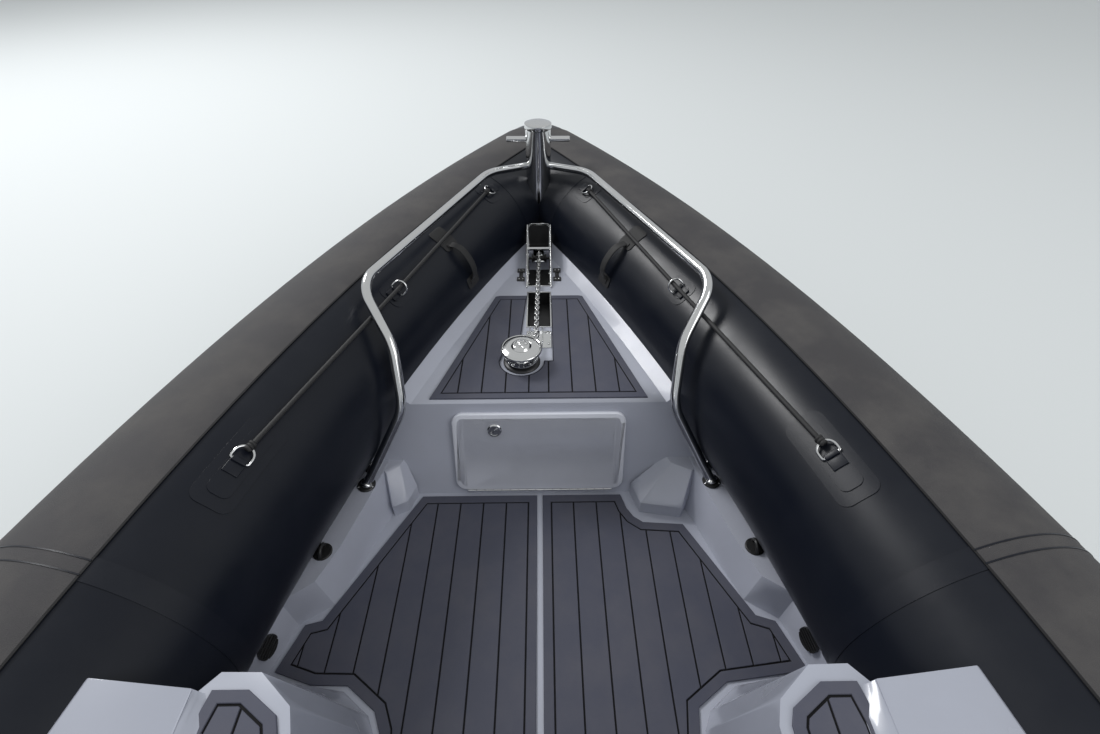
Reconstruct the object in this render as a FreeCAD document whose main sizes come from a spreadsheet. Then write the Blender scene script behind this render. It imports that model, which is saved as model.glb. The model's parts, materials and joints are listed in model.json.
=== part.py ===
import FreeCAD, Part
import Sketcher
import math
import os
from FreeCAD import Placement, Rotation, Vector
from types import SimpleNamespace

# A rigid inflatable boat afloat, in millimetres. X is port, Y is aft and Z is up, from the point on
# the centreline amidships at the waterline, so the bow points to minus Y.

doc = FreeCAD.newDocument("InflatableBoat")
sheet = doc.addObject("Spreadsheet::Sheet", "Sizes")

SIZES = (
    # name, value, what it is
    ("tubeRadius", 300, "inflated tube"),
    ("tubeHeight", 578, "tube axis above the waterline, forward"),
    ("halfBeam", 1180, "tube axis from the centreline amidships"),
    ("bowY", -4200, "where the two tube axes meet"),
    ("sideCurve", 14100, "plan radius of the tube axis amidships"),
    ("bowCurve", 7500, "plan radius of the tube axis at the bow"),
    ("curveChange", 9.2, "degrees of turn where one radius follows the other"),
    ("sheerCurve", 24000, "side view radius of the tube axis aft"),
    ("transomY", 3900, "after face of the hull"),
    ("coneLength", 560, "tapered end of each tube"),
    ("coneTip", 120, "radius at the small end of the cone"),
    ("gussetLength", 620, "bow section from the centreline to its seam, along each tube axis"),
    ("seat", 0.5, "gap between a tube and what it is bonded to"),
    ("gap", 0.3, "gap between a fitting and what carries it"),
    ("treadStart", -17.5, "degrees from the tube's crown to the inner edge of the tread strip"),
    ("treadEnd", 58, "degrees from the crown to its outer edge"),
    ("treadThick", 4, "tread strip"),
    ("strakeWidth", 90, "rubbing strake"),
    ("strakeThick", 28, "rubbing strake"),
    ("ropeRadius", 7, "lifeline"),
    ("ropeAngle", 64, "degrees from the tube's crown to the outer lifeline"),
    ("hullTop", 170, "joint between the hull and the deck moulding"),
    ("hullInset", 40, "hull side inboard of the tube axis"),
    ("deckHeight", 210, "cockpit floor"),
    ("coamingHeight", 350, "side shelf"),
    ("foredeckHeight", 559, "raised foredeck"),
    ("riserY", -2338, "foot of the foredeck riser"),
    ("riserRake", 16, "degrees that the riser leans forward"),
    ("wellEnd", 3250, "after end of the cockpit floor"),
    ("rimWidth", 42, "sloping rim of the foredeck beside each tube"),
    ("rimRise", 31, "sloping rim of the foredeck"),
    ("lidWidth", 586, "locker lid"),
    ("lidTall", 306, "locker lid"),
    ("lidThick", 16, "locker lid"),
    ("lidFoot", 24, "lower edge of the lid above the floor"),
    ("lidCorner", 38, "rounded corner of the locker lid"),
    ("pinRadius", 4, "hinge pin of the locker lid"),
    ("lockerDeep", 420, "locker behind the lid"),
    ("padThick", 6, "foam deck pad"),
    ("chainX", 10, "chain to port of the centreline"),
    ("wireRadius", 3, "wire of a chain link"),
    ("linkPitch", 18.5, "inside length of a chain link"),
    ("linkWidth", 20.4, "outside width of a chain link"),
    ("ringRadius", 22, "ring on the tube, to the centre of its wire"),
    ("ringWire", 3.5, "ring on the tube"),
    ("walkway", 832, "gap between the two consoles"),
    ("benchHigh", 350, "stern bench above the floor"),
    ("seatHigh", 620, "helm seat above the floor"),
    ("seatWide", 440, "helm seat"),
    ("postRadius", 57, "bow post"),
    ("postHeight", 496, "bow post"),
    ("postY", -3698, "bow post"),
    ("barRadius", 12.5, "cross bar of the bow post"),
    ("barLength", 285, "cross bar of the bow post"),
    ("barHeight", 426, "cross bar above the foredeck"),
    ("railRadius", 16, "bow rail"),
    ("flangeRadius", 30, "foot of the bow rail"),
    ("windlassY", -2649, "windlass"),
    ("windlassX", 61, "windlass to port of the centreline"),
    ("windlassRadius", 74, "windlass cap"),
    ("gypsyRadius", 49, "chain wheel of the windlass, to the chain's centre"),
    ("baseTall", 18, "windlass base"),
    ("consoleFront", -850, "foot of the upper console"),
    ("consoleBack", -150, "after face of the console"),
    ("wingHeight", 808, "side deck beside the step"),
    ("stepNose", -1520, "forward edge of the step's top"),
    ("stepHeight", 785, "top of the forward step"),
    ("consoleTall", 1350, "top of the dash"),
    ("dashFront", -430, "forward edge of the sloping dash"),
    ("screenTall", 430, "windscreen above the dash"),
    ("screenThick", 8, "windscreen glass"),
    ("wheelRadius", 170, "helm wheel"),
    ("engineY", 4100, "steering axis"),
    ("tiltHeight", 395, "tilt axis"),
    ("platformEnd", 4330, "after edge of the swim platforms"),
    ("hubRadius", 60, "hub of the propeller"),
    ("propRadius", 195, "propeller"),
    ("propHeight", -640, "propeller axis"),
)
for row, (name, value, note) in enumerate(SIZES, 1):
    sheet.set(f"A{row}", name)
    sheet.set(f"B{row}", str(value))
    sheet.setAlias(f"B{row}", name)
    sheet.set(f"C{row}", note)
doc.recompute()
size = SimpleNamespace(**{name: float(sheet.get(name)) for name, value, note in SIZES})

SIDES = (("port", 1), ("starboard", -1))
pieces = []


def keep(item, label):
    item.Label = label
    pieces.append(item)
    return item


def feature(label, *shapes):
    """A piece whose shape is worked out here, from values of the sheet."""
    item = doc.addObject("Part::Feature", label)
    item.Shape = shapes[0] if len(shapes) == 1 else Part.makeCompound(list(shapes))
    return keep(item, label)


def primitive(kind, name, formulas):
    """A Part primitive whose sizes and place follow the sheet."""
    item = doc.addObject("Part::" + kind, name)
    for prop, formula in formulas.items():
        item.setExpression(prop, formula)
    return item


def sketch(body, name, role, corners, offset=None):
    """A closed outline on a plane of the body, where two formulas hold each corner."""
    item = body.newObject("Sketcher::SketchObject", name)
    item.AttachmentSupport = (next(f for f in body.Origin.OriginFeatures if f.Role == role), [""])
    item.MapMode = "FlatFace"
    if offset:
        item.AttachmentOffset = offset
    spots = [Vector(*[float(item.evalExpression(str(formula))) for formula in corner], 0) for corner in corners]
    for start, end in zip(spots, spots[1:] + spots[:1]):
        item.addGeometry(Part.LineSegment(start, end), False)
    for i, (spot, corner) in enumerate(zip(spots, corners)):
        item.addConstraint(Sketcher.Constraint("Coincident", i - 1 if i else len(spots) - 1, 2, i, 1))
        for value, formula, kind, axis in ((spot.x, corner[0], "DistanceX", -2), (spot.y, corner[1], "DistanceY", -1)):
            if abs(value) < 1e-9:
                item.addConstraint(Sketcher.Constraint("PointOnObject", i, 1, axis))
                continue
            ends = (-1, 1, i, 1) if value > 0 else (i, 1, -1, 1)
            index = item.addConstraint(Sketcher.Constraint(kind, *ends, abs(value)))
            item.setExpression(f"Constraints[{index}]", str(formula) if value > 0 else f"-({formula})")
    return item


def place(item, formulas, rotation=None):
    if rotation:
        item.Placement = Placement(Vector(0, 0, 0), rotation)
    for axis, formula in zip("xyz", formulas):
        item.setExpression("Placement.Base." + axis, str(formula))


def pad(label, role, corners, length, base, rotation=None, back=False):
    """A body padded from one outline."""
    body = doc.addObject("PartDesign::Body", label)
    item = body.newObject("PartDesign::Pad", label + "_pad")
    item.Profile = sketch(body, label + "_outline", role, corners)
    item.setExpression("Length", str(length))
    item.Reversed = back
    place(body, base, rotation)
    doc.recompute()
    return body


def turned(label, corners, base=None, rotation=None):
    """A body revolved about its own Z axis."""
    body = doc.addObject("PartDesign::Body", label)
    item = body.newObject("PartDesign::Revolution", label + "_turn")
    item.Profile = outline = sketch(body, label + "_outline", "XZ_Plane", corners)
    item.ReferenceAxis = (outline, ["V_Axis"])
    item.Angle = 360
    if base:
        place(body, base, rotation)
    doc.recompute()
    return body


def rounded(body, radius, chosen):
    """A fillet on the edges of a body that a test picks out."""
    tip = body.Tip
    item = body.newObject("PartDesign::Fillet", body.Name + f"_round{len(body.Group)}")
    item.Base = (tip, [f"Edge{i}" for i, edge in enumerate(tip.Shape.Edges, 1) if chosen(edge)])
    item.setExpression("Radius", str(radius))
    doc.recompute()
    return body


def along(edge, direction):
    ends = [vertex.Point for vertex in edge.Vertexes]
    return len(ends) == 2 and abs((ends[1] - ends[0]).normalize().dot(direction)) > 0.99


def cushion(name, lengths, base, radius):
    """A block with every edge rounded."""
    block = primitive("Box", name + "_block", dict(zip(("Length", "Width", "Height"), lengths)))
    place(block, base)
    doc.recompute()
    item = doc.addObject("Part::Fillet", name)
    item.Base = block
    item.Edges = [(i, radius, radius) for i in range(1, 13)]
    return item


def joined(label, parts):
    item = doc.addObject("Part::MultiFuse", label)
    item.Shapes = parts
    return keep(item, label)


def flip(shape):
    return shape.mirror(Vector(0, 0, 0), Vector(1, 0, 0))


def both(shape):
    return shape, flip(shape)


def wire(points):
    return Part.makePolygon(points + points[:1])


def prism(points, move):
    return Part.Face(wire(points)).extrude(move)


def box(low, high):
    return Part.makeBox(high[0] - low[0], high[1] - low[1], high[2] - low[2], Vector(*low))


def rod(start, end, radius):
    return Part.makeCylinder(radius, (end - start).Length, start, end - start)


def arc(centre, radius, plane, start, end):
    """An arc in the plane of two unit vectors, from one angle in radians to another."""
    def at(angle):
        return centre + (plane[0] * math.cos(angle) + plane[1] * math.sin(angle)) * radius
    return Part.Arc(at(start), at((start + end) / 2), at(end)).toShape()


def rounded_path(points, radii):
    """Straight runs joined by tangent arcs, one radius for each corner."""
    edges = []
    last = points[0]
    for before, corner, after, radius in zip(points, points[1:], points[2:], radii):
        back = (before - corner).normalize()
        on = (after - corner).normalize()
        half = back.getAngle(on) / 2
        reach = radius / math.tan(half)
        first, final = corner + back * reach, corner + on * reach
        middle = corner + (back + on).normalize() * (radius / math.sin(half) - radius)
        edges.append(Part.makeLine(last, first))
        edges.append(Part.Arc(first, middle, final).toShape())
        last = final
    edges.append(Part.makeLine(last, points[-1]))
    return edges


def sweep(edges, face):
    """A flat section carried along tangent lines and arcs, each stretch an extrusion or a revolution."""
    stretches = []
    for edge in edges:
        if isinstance(edge.Curve, Part.Line):
            move = edge.Vertexes[-1].Point - edge.Vertexes[0].Point
            stretches.append(face.extrude(move))
            face = face.translated(move)
        else:
            centre, axis = edge.Curve.Center, edge.Curve.Axis
            turn = math.degrees(edge.LastParameter - edge.FirstParameter)
            stretches.append(face.revolve(centre, axis, turn))
            face = face.rotated(centre, axis, turn)
    if len(stretches) == 1:
        return stretches[0]
    return stretches[0].fuse(stretches[1:]).removeSplitter()


def pipe(edges, radius):
    start = edges[0].valueAt(edges[0].FirstParameter)
    tangent = edges[0].tangentAt(edges[0].FirstParameter)
    return sweep(edges, Part.Face(Part.Wire([Part.Circle(start, tangent, radius).toShape()])))


# The tube axis on the port side: two plan arcs forward, which turn inboard until they meet on the
# centreline, and one arc in side view aft, which lets the stern down towards the water.
TURN = math.radians(size.curveChange)
bow_centre_x = size.halfBeam - size.sideCurve + (size.sideCurve - size.bowCurve) * math.cos(TURN)
BOW_TURN = math.acos(-bow_centre_x / size.bowCurve)
side_y = (size.bowY + (size.sideCurve - size.bowCurve) * math.sin(TURN)
          + size.bowCurve * math.sin(BOW_TURN))
side_centre = Vector(size.halfBeam - size.sideCurve, side_y, 0)
bow_centre = Vector(bow_centre_x, side_y - (size.sideCurve - size.bowCurve) * math.sin(TURN), 0)
PLAN = (Vector(1, 0, 0), Vector(0, -1, 0))
PROFILE = (Vector(0, 0, 1), Vector(0, 1, 0))
AFT_TURN = math.asin((size.transomY - side_y) / size.sheerCurve)


def side_path(out, up, bow_turn=BOW_TURN):
    """The line at a fixed place beside the port tube axis, from the bow to the transom."""
    lift = Vector(0, 0, size.tubeHeight + up)
    sheer = Vector(size.halfBeam + out, side_y, size.tubeHeight - size.sheerCurve)
    return [arc(bow_centre + lift, size.bowCurve + out, PLAN, bow_turn, TURN),
            arc(side_centre + lift, size.sideCurve + out, PLAN, TURN, 0),
            arc(sheer, size.sheerCurve + up, PROFILE, 0, AFT_TURN)]


def axis_at(y):
    """The tube axis and its outboard direction at one station."""
    if y >= side_y:
        drop = size.sheerCurve - math.sqrt(size.sheerCurve ** 2 - (y - side_y) ** 2)
        return Vector(size.halfBeam, y, size.tubeHeight - drop), Vector(1, 0, 0)
    turn = math.asin((side_y - y) / size.sideCurve)
    centre, radius = side_centre, size.sideCurve
    if turn > TURN:
        turn = math.asin((bow_centre.y - y) / size.bowCurve)
        centre, radius = bow_centre, size.bowCurve
    outboard = Vector(math.cos(turn), -math.sin(turn), 0)
    return centre + outboard * radius + Vector(0, 0, size.tubeHeight), outboard


def sheer_tilt(y):
    """How far the tube axis slopes down aft at one station, in radians."""
    return math.asin(max(0, y - side_y) / size.sheerCurve)


def on_tube(y, angle, lift=0.0):
    """A point on the port tube, at an angle in degrees from its crown towards outboard."""
    centre, outboard = axis_at(y)
    angle, tilt = math.radians(angle), sheer_tilt(y)
    normal = outboard * math.sin(angle) + Vector(0, math.sin(tilt), math.cos(tilt)) * math.cos(angle)
    return centre + normal * (size.tubeRadius + lift), normal


def plan_face(inset, y_end, z):
    """The deck's outline in plan, parallel to the tube axes."""
    turn = math.acos(-bow_centre_x / (size.bowCurve - inset))
    lift = Vector(0, 0, z)
    x = size.halfBeam - inset
    edges = [arc(bow_centre + lift, size.bowCurve - inset, PLAN, turn, TURN),
             arc(side_centre + lift, size.sideCurve - inset, PLAN, TURN, 0),
             Part.makeLine(Vector(x, side_y, z), Vector(x, y_end, z))]
    mirrored = [flip(edge) for edge in edges]
    back = Part.makeLine(Vector(x, y_end, z), Vector(-x, y_end, z))
    return Part.Face(Part.Wire(Part.__sortEdges__(edges + [back] + mirrored)))


# Tubes: one air chamber each side with a cone at its stern end, and a mitred bow section between two
# seams, with a round nose.
GUSSET_TURN = BOW_TURN - size.gussetLength / size.bowCurve


def side_tube(radius):
    """The port chamber from its forward seam to the tip of its cone."""
    edges = side_path(0, 0, GUSSET_TURN)
    end, _ = axis_at(size.transomY)
    aft = Vector(0, math.cos(AFT_TURN), -math.sin(AFT_TURN))
    tip = size.coneTip + radius - size.tubeRadius
    rounding = ((1, 0), (0.8, 0.22), (0.45, 0.36), (0, 0.4))
    outline = [Vector(0, 0, 0), Vector(radius, 0, 0)]
    outline += [Vector(tip * across, 0, size.coneLength + tip * along) for across, along in rounding]
    cone = Part.Face(wire(outline)).revolve(Vector(0, 0, 0), Vector(0, 0, 1), 360)
    cone.Placement = Placement(end, Rotation(Vector(0, 0, 1), aft))
    return pipe(edges, radius).fuse(cone).removeSplitter()


def bow_tube(radius):
    """The bow section: two short stretches that meet on the centreline, and a ball between them."""
    lift = Vector(0, 0, size.tubeHeight)
    stretch = pipe([arc(bow_centre + lift, size.bowCurve, PLAN, BOW_TURN, GUSSET_TURN)], radius)
    stretch = stretch.common(box((0, size.bowY - 600, 0), (2000, 0, 1600)))
    nose = Vector(0, size.bowY, size.tubeHeight)
    outboard = Vector(math.cos(BOW_TURN), -math.sin(BOW_TURN), 0)
    up = Vector(0, 0, radius)
    half = Part.Wire([Part.Arc(nose - up, nose + outboard * radius, nose + up).toShape(),
                      Part.makeLine(nose + up, nose - up)])
    ball = Part.Face(half).revolve(nose, Vector(0, 0, -1), 180 - 2 * math.degrees(BOW_TURN))
    return stretch.fuse([flip(stretch), ball]).removeSplitter()


post_hole = Part.makeCylinder(size.postRadius + 3, 900, Vector(0, size.postY, size.foredeckHeight - 3))
chamber = side_tube(size.tubeRadius).cut(post_hole)
for side, sign in SIDES:
    feature(f"tube_{side}", chamber if sign > 0 else flip(chamber))
feature("tube_bow", bow_tube(size.tubeRadius).cut(post_hole))
seat_tubes = [side_tube(size.tubeRadius + size.seat), bow_tube(size.tubeRadius + size.seat)]
seat_tubes.append(flip(seat_tubes[0]))

# Tread strip on each tube's crown, between two angles round the tube.
start_turn = BOW_TURN - 60 / size.bowCurve
centre, outboard = axis_at(bow_centre.y - size.bowCurve * math.sin(start_turn))
band = []
for radius in (size.tubeRadius + size.gap, size.tubeRadius + size.treadThick):
    ends = []
    for angle in (size.treadStart, (size.treadStart + size.treadEnd) / 2, size.treadEnd):
        turn = math.radians(angle)
        ends.append(centre + (outboard * math.sin(turn) + Vector(0, 0, math.cos(turn))) * radius)
    band.append(ends)
section = Part.Wire([Part.Arc(*band[0]).toShape(), Part.makeLine(band[0][2], band[1][2]),
                     Part.Arc(*reversed(band[1])).toShape(), Part.makeLine(band[1][0], band[0][0])])
strip = sweep(side_path(0, 0, start_turn), Part.Face(section)).cut(box((-2000, -6000, 0), (size.seat, 0, 2000)))
feature("tread_strips", *both(strip))

# Rubbing strake: one moulding from cone to cone round the nose, on the tube's outer side.
reach = size.tubeRadius + size.gap
nose_arc = arc(Vector(0, size.bowY, size.tubeHeight), reach, PLAN, math.pi / 2, BOW_TURN)
out, tall = size.strakeThick, size.strakeWidth / 2
foot = Vector(0, size.bowY - reach, size.tubeHeight)
STRAKE = ((0, -tall), (out * 0.6, -tall), (out, -tall * 0.5), (out, tall * 0.5), (out * 0.6, tall), (0, tall))
section = Part.Face(wire([foot + Vector(0, -across, up) for across, up in STRAKE]))
strake = sweep([nose_arc] + side_path(reach, 0), section)
feature("rubbing_strake", strake.fuse(flip(strake)).removeSplitter())

# Slots for the chain in the foredeck; the middle one runs down through the stem as the hawse.
high = size.foredeckHeight + 50
CHAIN_SLOTS = (
    # half width, forward end, after end, depth
    (48, -3438, -3148, 60),
    (46, -3098, -2858, 60),
)
slots = [box((-half, front, size.foredeckHeight - deep), (half, back, high))
         for half, front, back, deep in CHAIN_SLOTS]
slots.append(box((-60, -3500, size.foredeckHeight), (60, -3110, high)))
hawse_slope = -0.587
hawse_from, hawse_end, hawse_mouth = -3462, -3348, -4160
drop = (hawse_end - hawse_mouth) * -hawse_slope
hawse = prism([Vector(-22, hawse_end, high), Vector(-22, hawse_end, size.foredeckHeight),
               Vector(-22, hawse_mouth, size.foredeckHeight - drop),
               Vector(-22, hawse_mouth, size.foredeckHeight - drop + (hawse_end - hawse_from) * -hawse_slope),
               Vector(-22, hawse_from, size.foredeckHeight), Vector(-22, hawse_from, high)], Vector(50, 0, 0))

# Hull: a deep vee of four lines a side, lofted through a few stations.
HULL_STATIONS = (
    # y, keel height, chine half width, chine height
    (size.transomY, -430, 1000, -30),
    (2000, -470, 1015, -30),
    (0, -480, 975, 0),
    (-1700, -420, 800, 55),
    (-2900, -240, 500, 110),
    (-3700, 10, 225, 145),
    (-4040, 135, 60, 160),
)
sections = []
for y, keel, chine, chine_z in HULL_STATIONS:
    top = max(axis_at(y)[0].x - size.hullInset, chine + 8)
    half = [(0, keel), (chine * 0.93, chine_z - 12), (chine, chine_z - 12), (top, size.hullTop)]
    outline = [Vector(x, y, z) for x, z in half] + [Vector(-x, y, z) for x, z in half[:0:-1]]
    sections.append(wire(outline))
feature("hull", Part.makeLoft(sections, True, False).cut(seat_tubes + [hawse]))

# Deck moulding: side shelves, sunken cockpit floor, raised foredeck with its locker, and the slots
# for the chain, of which the middle one runs down through the stem.
riser_tan = math.tan(math.radians(size.riserRake))


def riser_y(z):
    return size.riserY - (z - size.deckHeight) * riser_tan


def mirrored_wire(points):
    return wire(points + [Vector(-p.x, p.y, p.z) for p in reversed(points)])


plan = plan_face(size.hullInset, size.transomY, size.hullTop)
block = plan.extrude(Vector(0, 0, size.foredeckHeight - size.hullTop))
RIM = ((-size.rimWidth, -30), (-size.rimWidth, 0), (0, size.rimRise), (30, size.rimRise), (30, -30))
rim_point, rim_out = axis_at(bow_centre.y - size.bowCurve * math.sin(BOW_TURN - 0.02))
section = Part.Face(wire([rim_point + rim_out * (across - size.tubeRadius)
                          + Vector(0, 0, size.foredeckHeight - size.tubeHeight + up) for across, up in RIM]))
rim = sweep(side_path(0, 0, BOW_TURN - 0.02)[:2], section)
block = block.fuse(both(rim))
reach = 2 * size.halfBeam
block = block.cut(prism([Vector(-reach, riser_y(size.coamingHeight), size.coamingHeight),
                         Vector(-reach, riser_y(high), high), Vector(-reach, 6000, high),
                         Vector(-reach, 6000, size.coamingHeight)], Vector(2 * reach, 0, 0)))
WELL = (
    # y, floor edge and shelf edge inboard of the tube axis
    (size.riserY, 334, 292),
    (-2195, 321, 289),
    (-2048, 313, 288),
    (-1930, 293, 270),
    (-1870, 217, 202),
    (-1700, 200, 185),
    (-1100, 222, 209),
    (-200, 242, 232),
    (900, 228, 218),
    (size.wellEnd, 228, 218),
)
levels = []
for level in (size.deckHeight, high):
    share = (level - size.deckHeight) / (size.coamingHeight - size.deckHeight)
    half = [Vector(axis_at(y)[0].x - floor_in - (shelf_in - floor_in) * share,
                   riser_y(level) if y == size.riserY else y, level) for y, floor_in, shelf_in in WELL]
    levels.append(mirrored_wire(half))
well = Part.makeLoft(levels, True, True)
well = well.common(box((-reach, -6000, size.deckHeight), (reach, 6000, size.coamingHeight + 1)))
locker_half = size.lidWidth / 2 - 25
locker_low, locker_top = size.deckHeight + 45, size.deckHeight + size.lidTall + 4
locker = prism([Vector(-locker_half, riser_y(locker_low) + 60, locker_low),
                Vector(-locker_half, riser_y(locker_top) + 60, locker_top),
                Vector(-locker_half, riser_y(locker_top) - size.lockerDeep, locker_top),
                Vector(-locker_half, riser_y(locker_low) - size.lockerDeep, locker_low)],
               Vector(2 * locker_half, 0, 0))
deck = block.cut(seat_tubes + [well, locker, hawse] + slots)
CORNER_STEPS = (
    # side, foot of the ledge, its upper edge at the shelf
    (-1, ((320, -2334), (345, -2250), (482, -2226), (530, -2300), (530, -2338)),
     ((440, -2384), (455, -2352), (520, -2318), (540, -2340), (540, -2390))),
    (1, ((432, -2334), (452, -2268), (500, -2244), (530, -2300), (530, -2338)),
     ((470, -2384), (480, -2352), (520, -2318), (540, -2340), (540, -2390))),
)
ledge_top = size.deckHeight + 52
steps = []
for sign, foot, upper in CORNER_STEPS:
    rings = [wire([Vector(sign * x, y, z) for x, y in outline])
             for outline, z in ((foot, size.deckHeight - 5), (foot, ledge_top), (upper, size.coamingHeight - 1))]
    steps.append(Part.makeLoft(rings, True, True))
deck = deck.fuse(steps)
feature("deck", deck.removeSplitter())

# Locker lid: a plate on the riser with rounded corners, hinged on a pin at its foot, and a round latch.
lid_turn = Rotation(Vector(1, 0, 0), size.riserRake)
lid_low = size.deckHeight + size.lidFoot
lid_foot = Vector(0, riser_y(lid_low) + size.gap / math.cos(math.radians(size.riserRake)), lid_low)
LID_Y = ("Sizes.riserY - Sizes.lidFoot * tan(Sizes.riserRake * 1deg) + Sizes.gap / cos(Sizes.riserRake * 1deg)")
lid_base = ("0", LID_Y, "Sizes.deckHeight + Sizes.lidFoot")
lid = pad("locker_lid", "XZ_Plane", (("-Sizes.lidWidth / 2", 0), ("Sizes.lidWidth / 2", 0),
                                     ("Sizes.lidWidth / 2", "Sizes.lidTall"), ("-Sizes.lidWidth / 2", "Sizes.lidTall")),
          "Sizes.lidThick", lid_base, lid_turn, back=True)
rounded(lid, "Sizes.lidCorner", lambda edge: along(edge, Vector(0, 1, 0)))
rounded(lid, "Sizes.lidThick / 4", lambda edge: all(v.Point.y > size.lidThick - 1 for v in edge.Vertexes)
        and edge.Length > 2)
keep(lid, "locker_lid")
latch = turned("lid_latch", ((0, 0), (24, 0), (24, 2.5), (21, 5), (17, 5), (15, 3), (0, 3)))
latch.Placement = Placement(lid_foot + lid_turn.multVec(Vector(150, size.lidThick + size.gap, size.lidTall - 62)),
                            lid_turn * Rotation(Vector(1, 0, 0), -90))
keep(latch, "lid_latch")
pin_drop = size.pinRadius + 0.5
pin_at = Vector(0, size.lidThick - size.pinRadius, -pin_drop)
leaf = [(size.gap, -16), (3, -16), (3, -pin_drop - 2), (pin_at.y, -pin_drop - 2), (pin_at.y, -pin_drop + 1),
        (size.gap, -pin_drop + 1)]
half = size.lidWidth / 2 - size.lidCorner
hinge = prism([Vector(-half, y, z) for y, z in leaf], Vector(2 * half, 0, 0)).fuse(
    Part.makeCylinder(size.pinRadius, 2 * half, pin_at - Vector(half, 0, 0), Vector(1, 0, 0)))
hinge.Placement = Placement(lid_foot, lid_turn)
feature("lid_hinge", hinge)

# Foam pads on the foredeck, on the cockpit floor and on the two forward steps.
pad_z = size.foredeckHeight + size.gap
FOREDECK_PAD = ((162, -3067), (179, -3062), (365, -2458), (-365, -2458), (-179, -3062), (-162, -3067))
foam = prism([Vector(x, y, pad_z) for x, y in FOREDECK_PAD], Vector(0, 0, size.padThick))
windlass_space = Part.makeCylinder(size.windlassRadius + 6, 900, Vector(size.windlassX, size.windlassY, 0))
foam = foam.cut([box((-50, -3110, 0), (50, size.windlassY, 900)), windlass_space])
feature("foredeck_pad", foam)
floor_z = size.deckHeight + size.gap
inner = size.walkway / 2
PORT_PAD = ((10, -2320), (415, -2320), (644, -1879), (691, -1867), (735, -1737), (627, -1702), (524, -1699),
            (inner + 21, -1635), (inner - 2, -1585), (inner - 16, -1500), (inner - 16, 0), (10, 0))
STARBOARD_PAD = ((-10, -2320), (-286, -2320), (-302, -2262), (-322, -2228), (-352, -2205), (-486, -2195),
                 (-644, -1879), (-697, -1861), (-746, -1722), (-512, -1695), (-inner - 6, -1633),
                 (-inner + 2, -1585), (-inner + 16, -1500), (-inner + 16, 0), (-10, 0))
for label, outline in (("deck_pad_port", PORT_PAD), ("deck_pad_starboard", STARBOARD_PAD)):
    feature(label, prism([Vector(x, y, floor_z) for x, y in outline], Vector(0, 0, size.padThick)))
STEP_PAD = ((21, 100), (32, 73), (94, 32), (160, 32), (172, 100), (172, 230), (160, 290), (94, 290), (32, 250), (21, 220))
step_pad = prism([Vector(inner + x, size.stepNose + y, size.stepHeight + size.gap) for x, y in STEP_PAD],
                 Vector(0, 0, size.padThick))
feature("step_pads", *both(step_pad))

# Bow post: a stainless tube with a wider cap and a cross bar.
post = turned("PostTube", ((0, 0), ("Sizes.postRadius", 0), ("Sizes.postRadius", "Sizes.postHeight - 22"),
                           ("Sizes.postRadius + 4", "Sizes.postHeight - 18"),
                           ("Sizes.postRadius + 4", "Sizes.postHeight - 3"),
                           ("Sizes.postRadius + 1", "Sizes.postHeight"), (0, "Sizes.postHeight")),
              ("0", "Sizes.postY", "Sizes.foredeckHeight + Sizes.gap"))
bar = primitive("Cylinder", "PostBar", {"Radius": "Sizes.barRadius", "Height": "Sizes.barLength"})
place(bar, ("-Sizes.barLength / 2", "Sizes.postY", "Sizes.foredeckHeight + Sizes.barHeight"),
      Rotation(Vector(0, 1, 0), 90))
joined("bow_post", [post, bar])

# Bow rails: a bent tube from the post, over the tube's shoulder, down to a flange on the side shelf.
RAIL_KNOTS = (
    # station, degrees from the tube's crown, height over the tube, bend radius
    (-3570, -23.3, 61, 300),
    (-2664, -25.8, 80, 110),
    (-2572, -57, 62, 200),
    (-2478, -86, 56, 150),
)
post_end = Vector(size.postRadius - 17, size.postY, size.foredeckHeight + 306)
foot_station, foot_out = axis_at(-2337)
under = math.sqrt(max(0, size.tubeRadius ** 2 - (size.tubeHeight - size.coamingHeight) ** 2))
rail_foot = foot_station - foot_out * (under + 52)
rail_foot.z = size.coamingHeight + size.gap
knots = [on_tube(*row[:3])[0] for row in RAIL_KNOTS]
rail_path = rounded_path([post_end] + knots + [rail_foot], [row[3] for row in RAIL_KNOTS])
post_space = Part.makeCylinder(size.postRadius + size.gap, 900, Vector(0, size.postY, 500))
low_space = box((-reach, -6000, 0), (reach, 0, size.coamingHeight + size.gap))
rail_end = rail_foot + (rail_foot - knots[-1]).normalize() * 40
for side, sign in SIDES:
    long_path = rounded_path([post_end] + knots + [rail_end], [row[3] for row in RAIL_KNOTS])
    rail = pipe(long_path, size.railRadius).cut([post_space, low_space])
    feature(f"bow_rail_{side}", rail if sign > 0 else flip(rail))
leg = (knots[-1] - rail_foot).normalize()
flange = Part.makeCylinder(size.flangeRadius, 7, rail_foot).fuse(
    Part.makeCone(size.railRadius + 9, size.railRadius + 5, 34, rail_foot + leg * 2, leg))
flange = flange.cut([Part.makeCylinder(size.railRadius + size.gap, 160, rail_foot - leg * 60, leg), low_space])
feature("rail_flanges", *both(flange.removeSplitter()))

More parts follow.
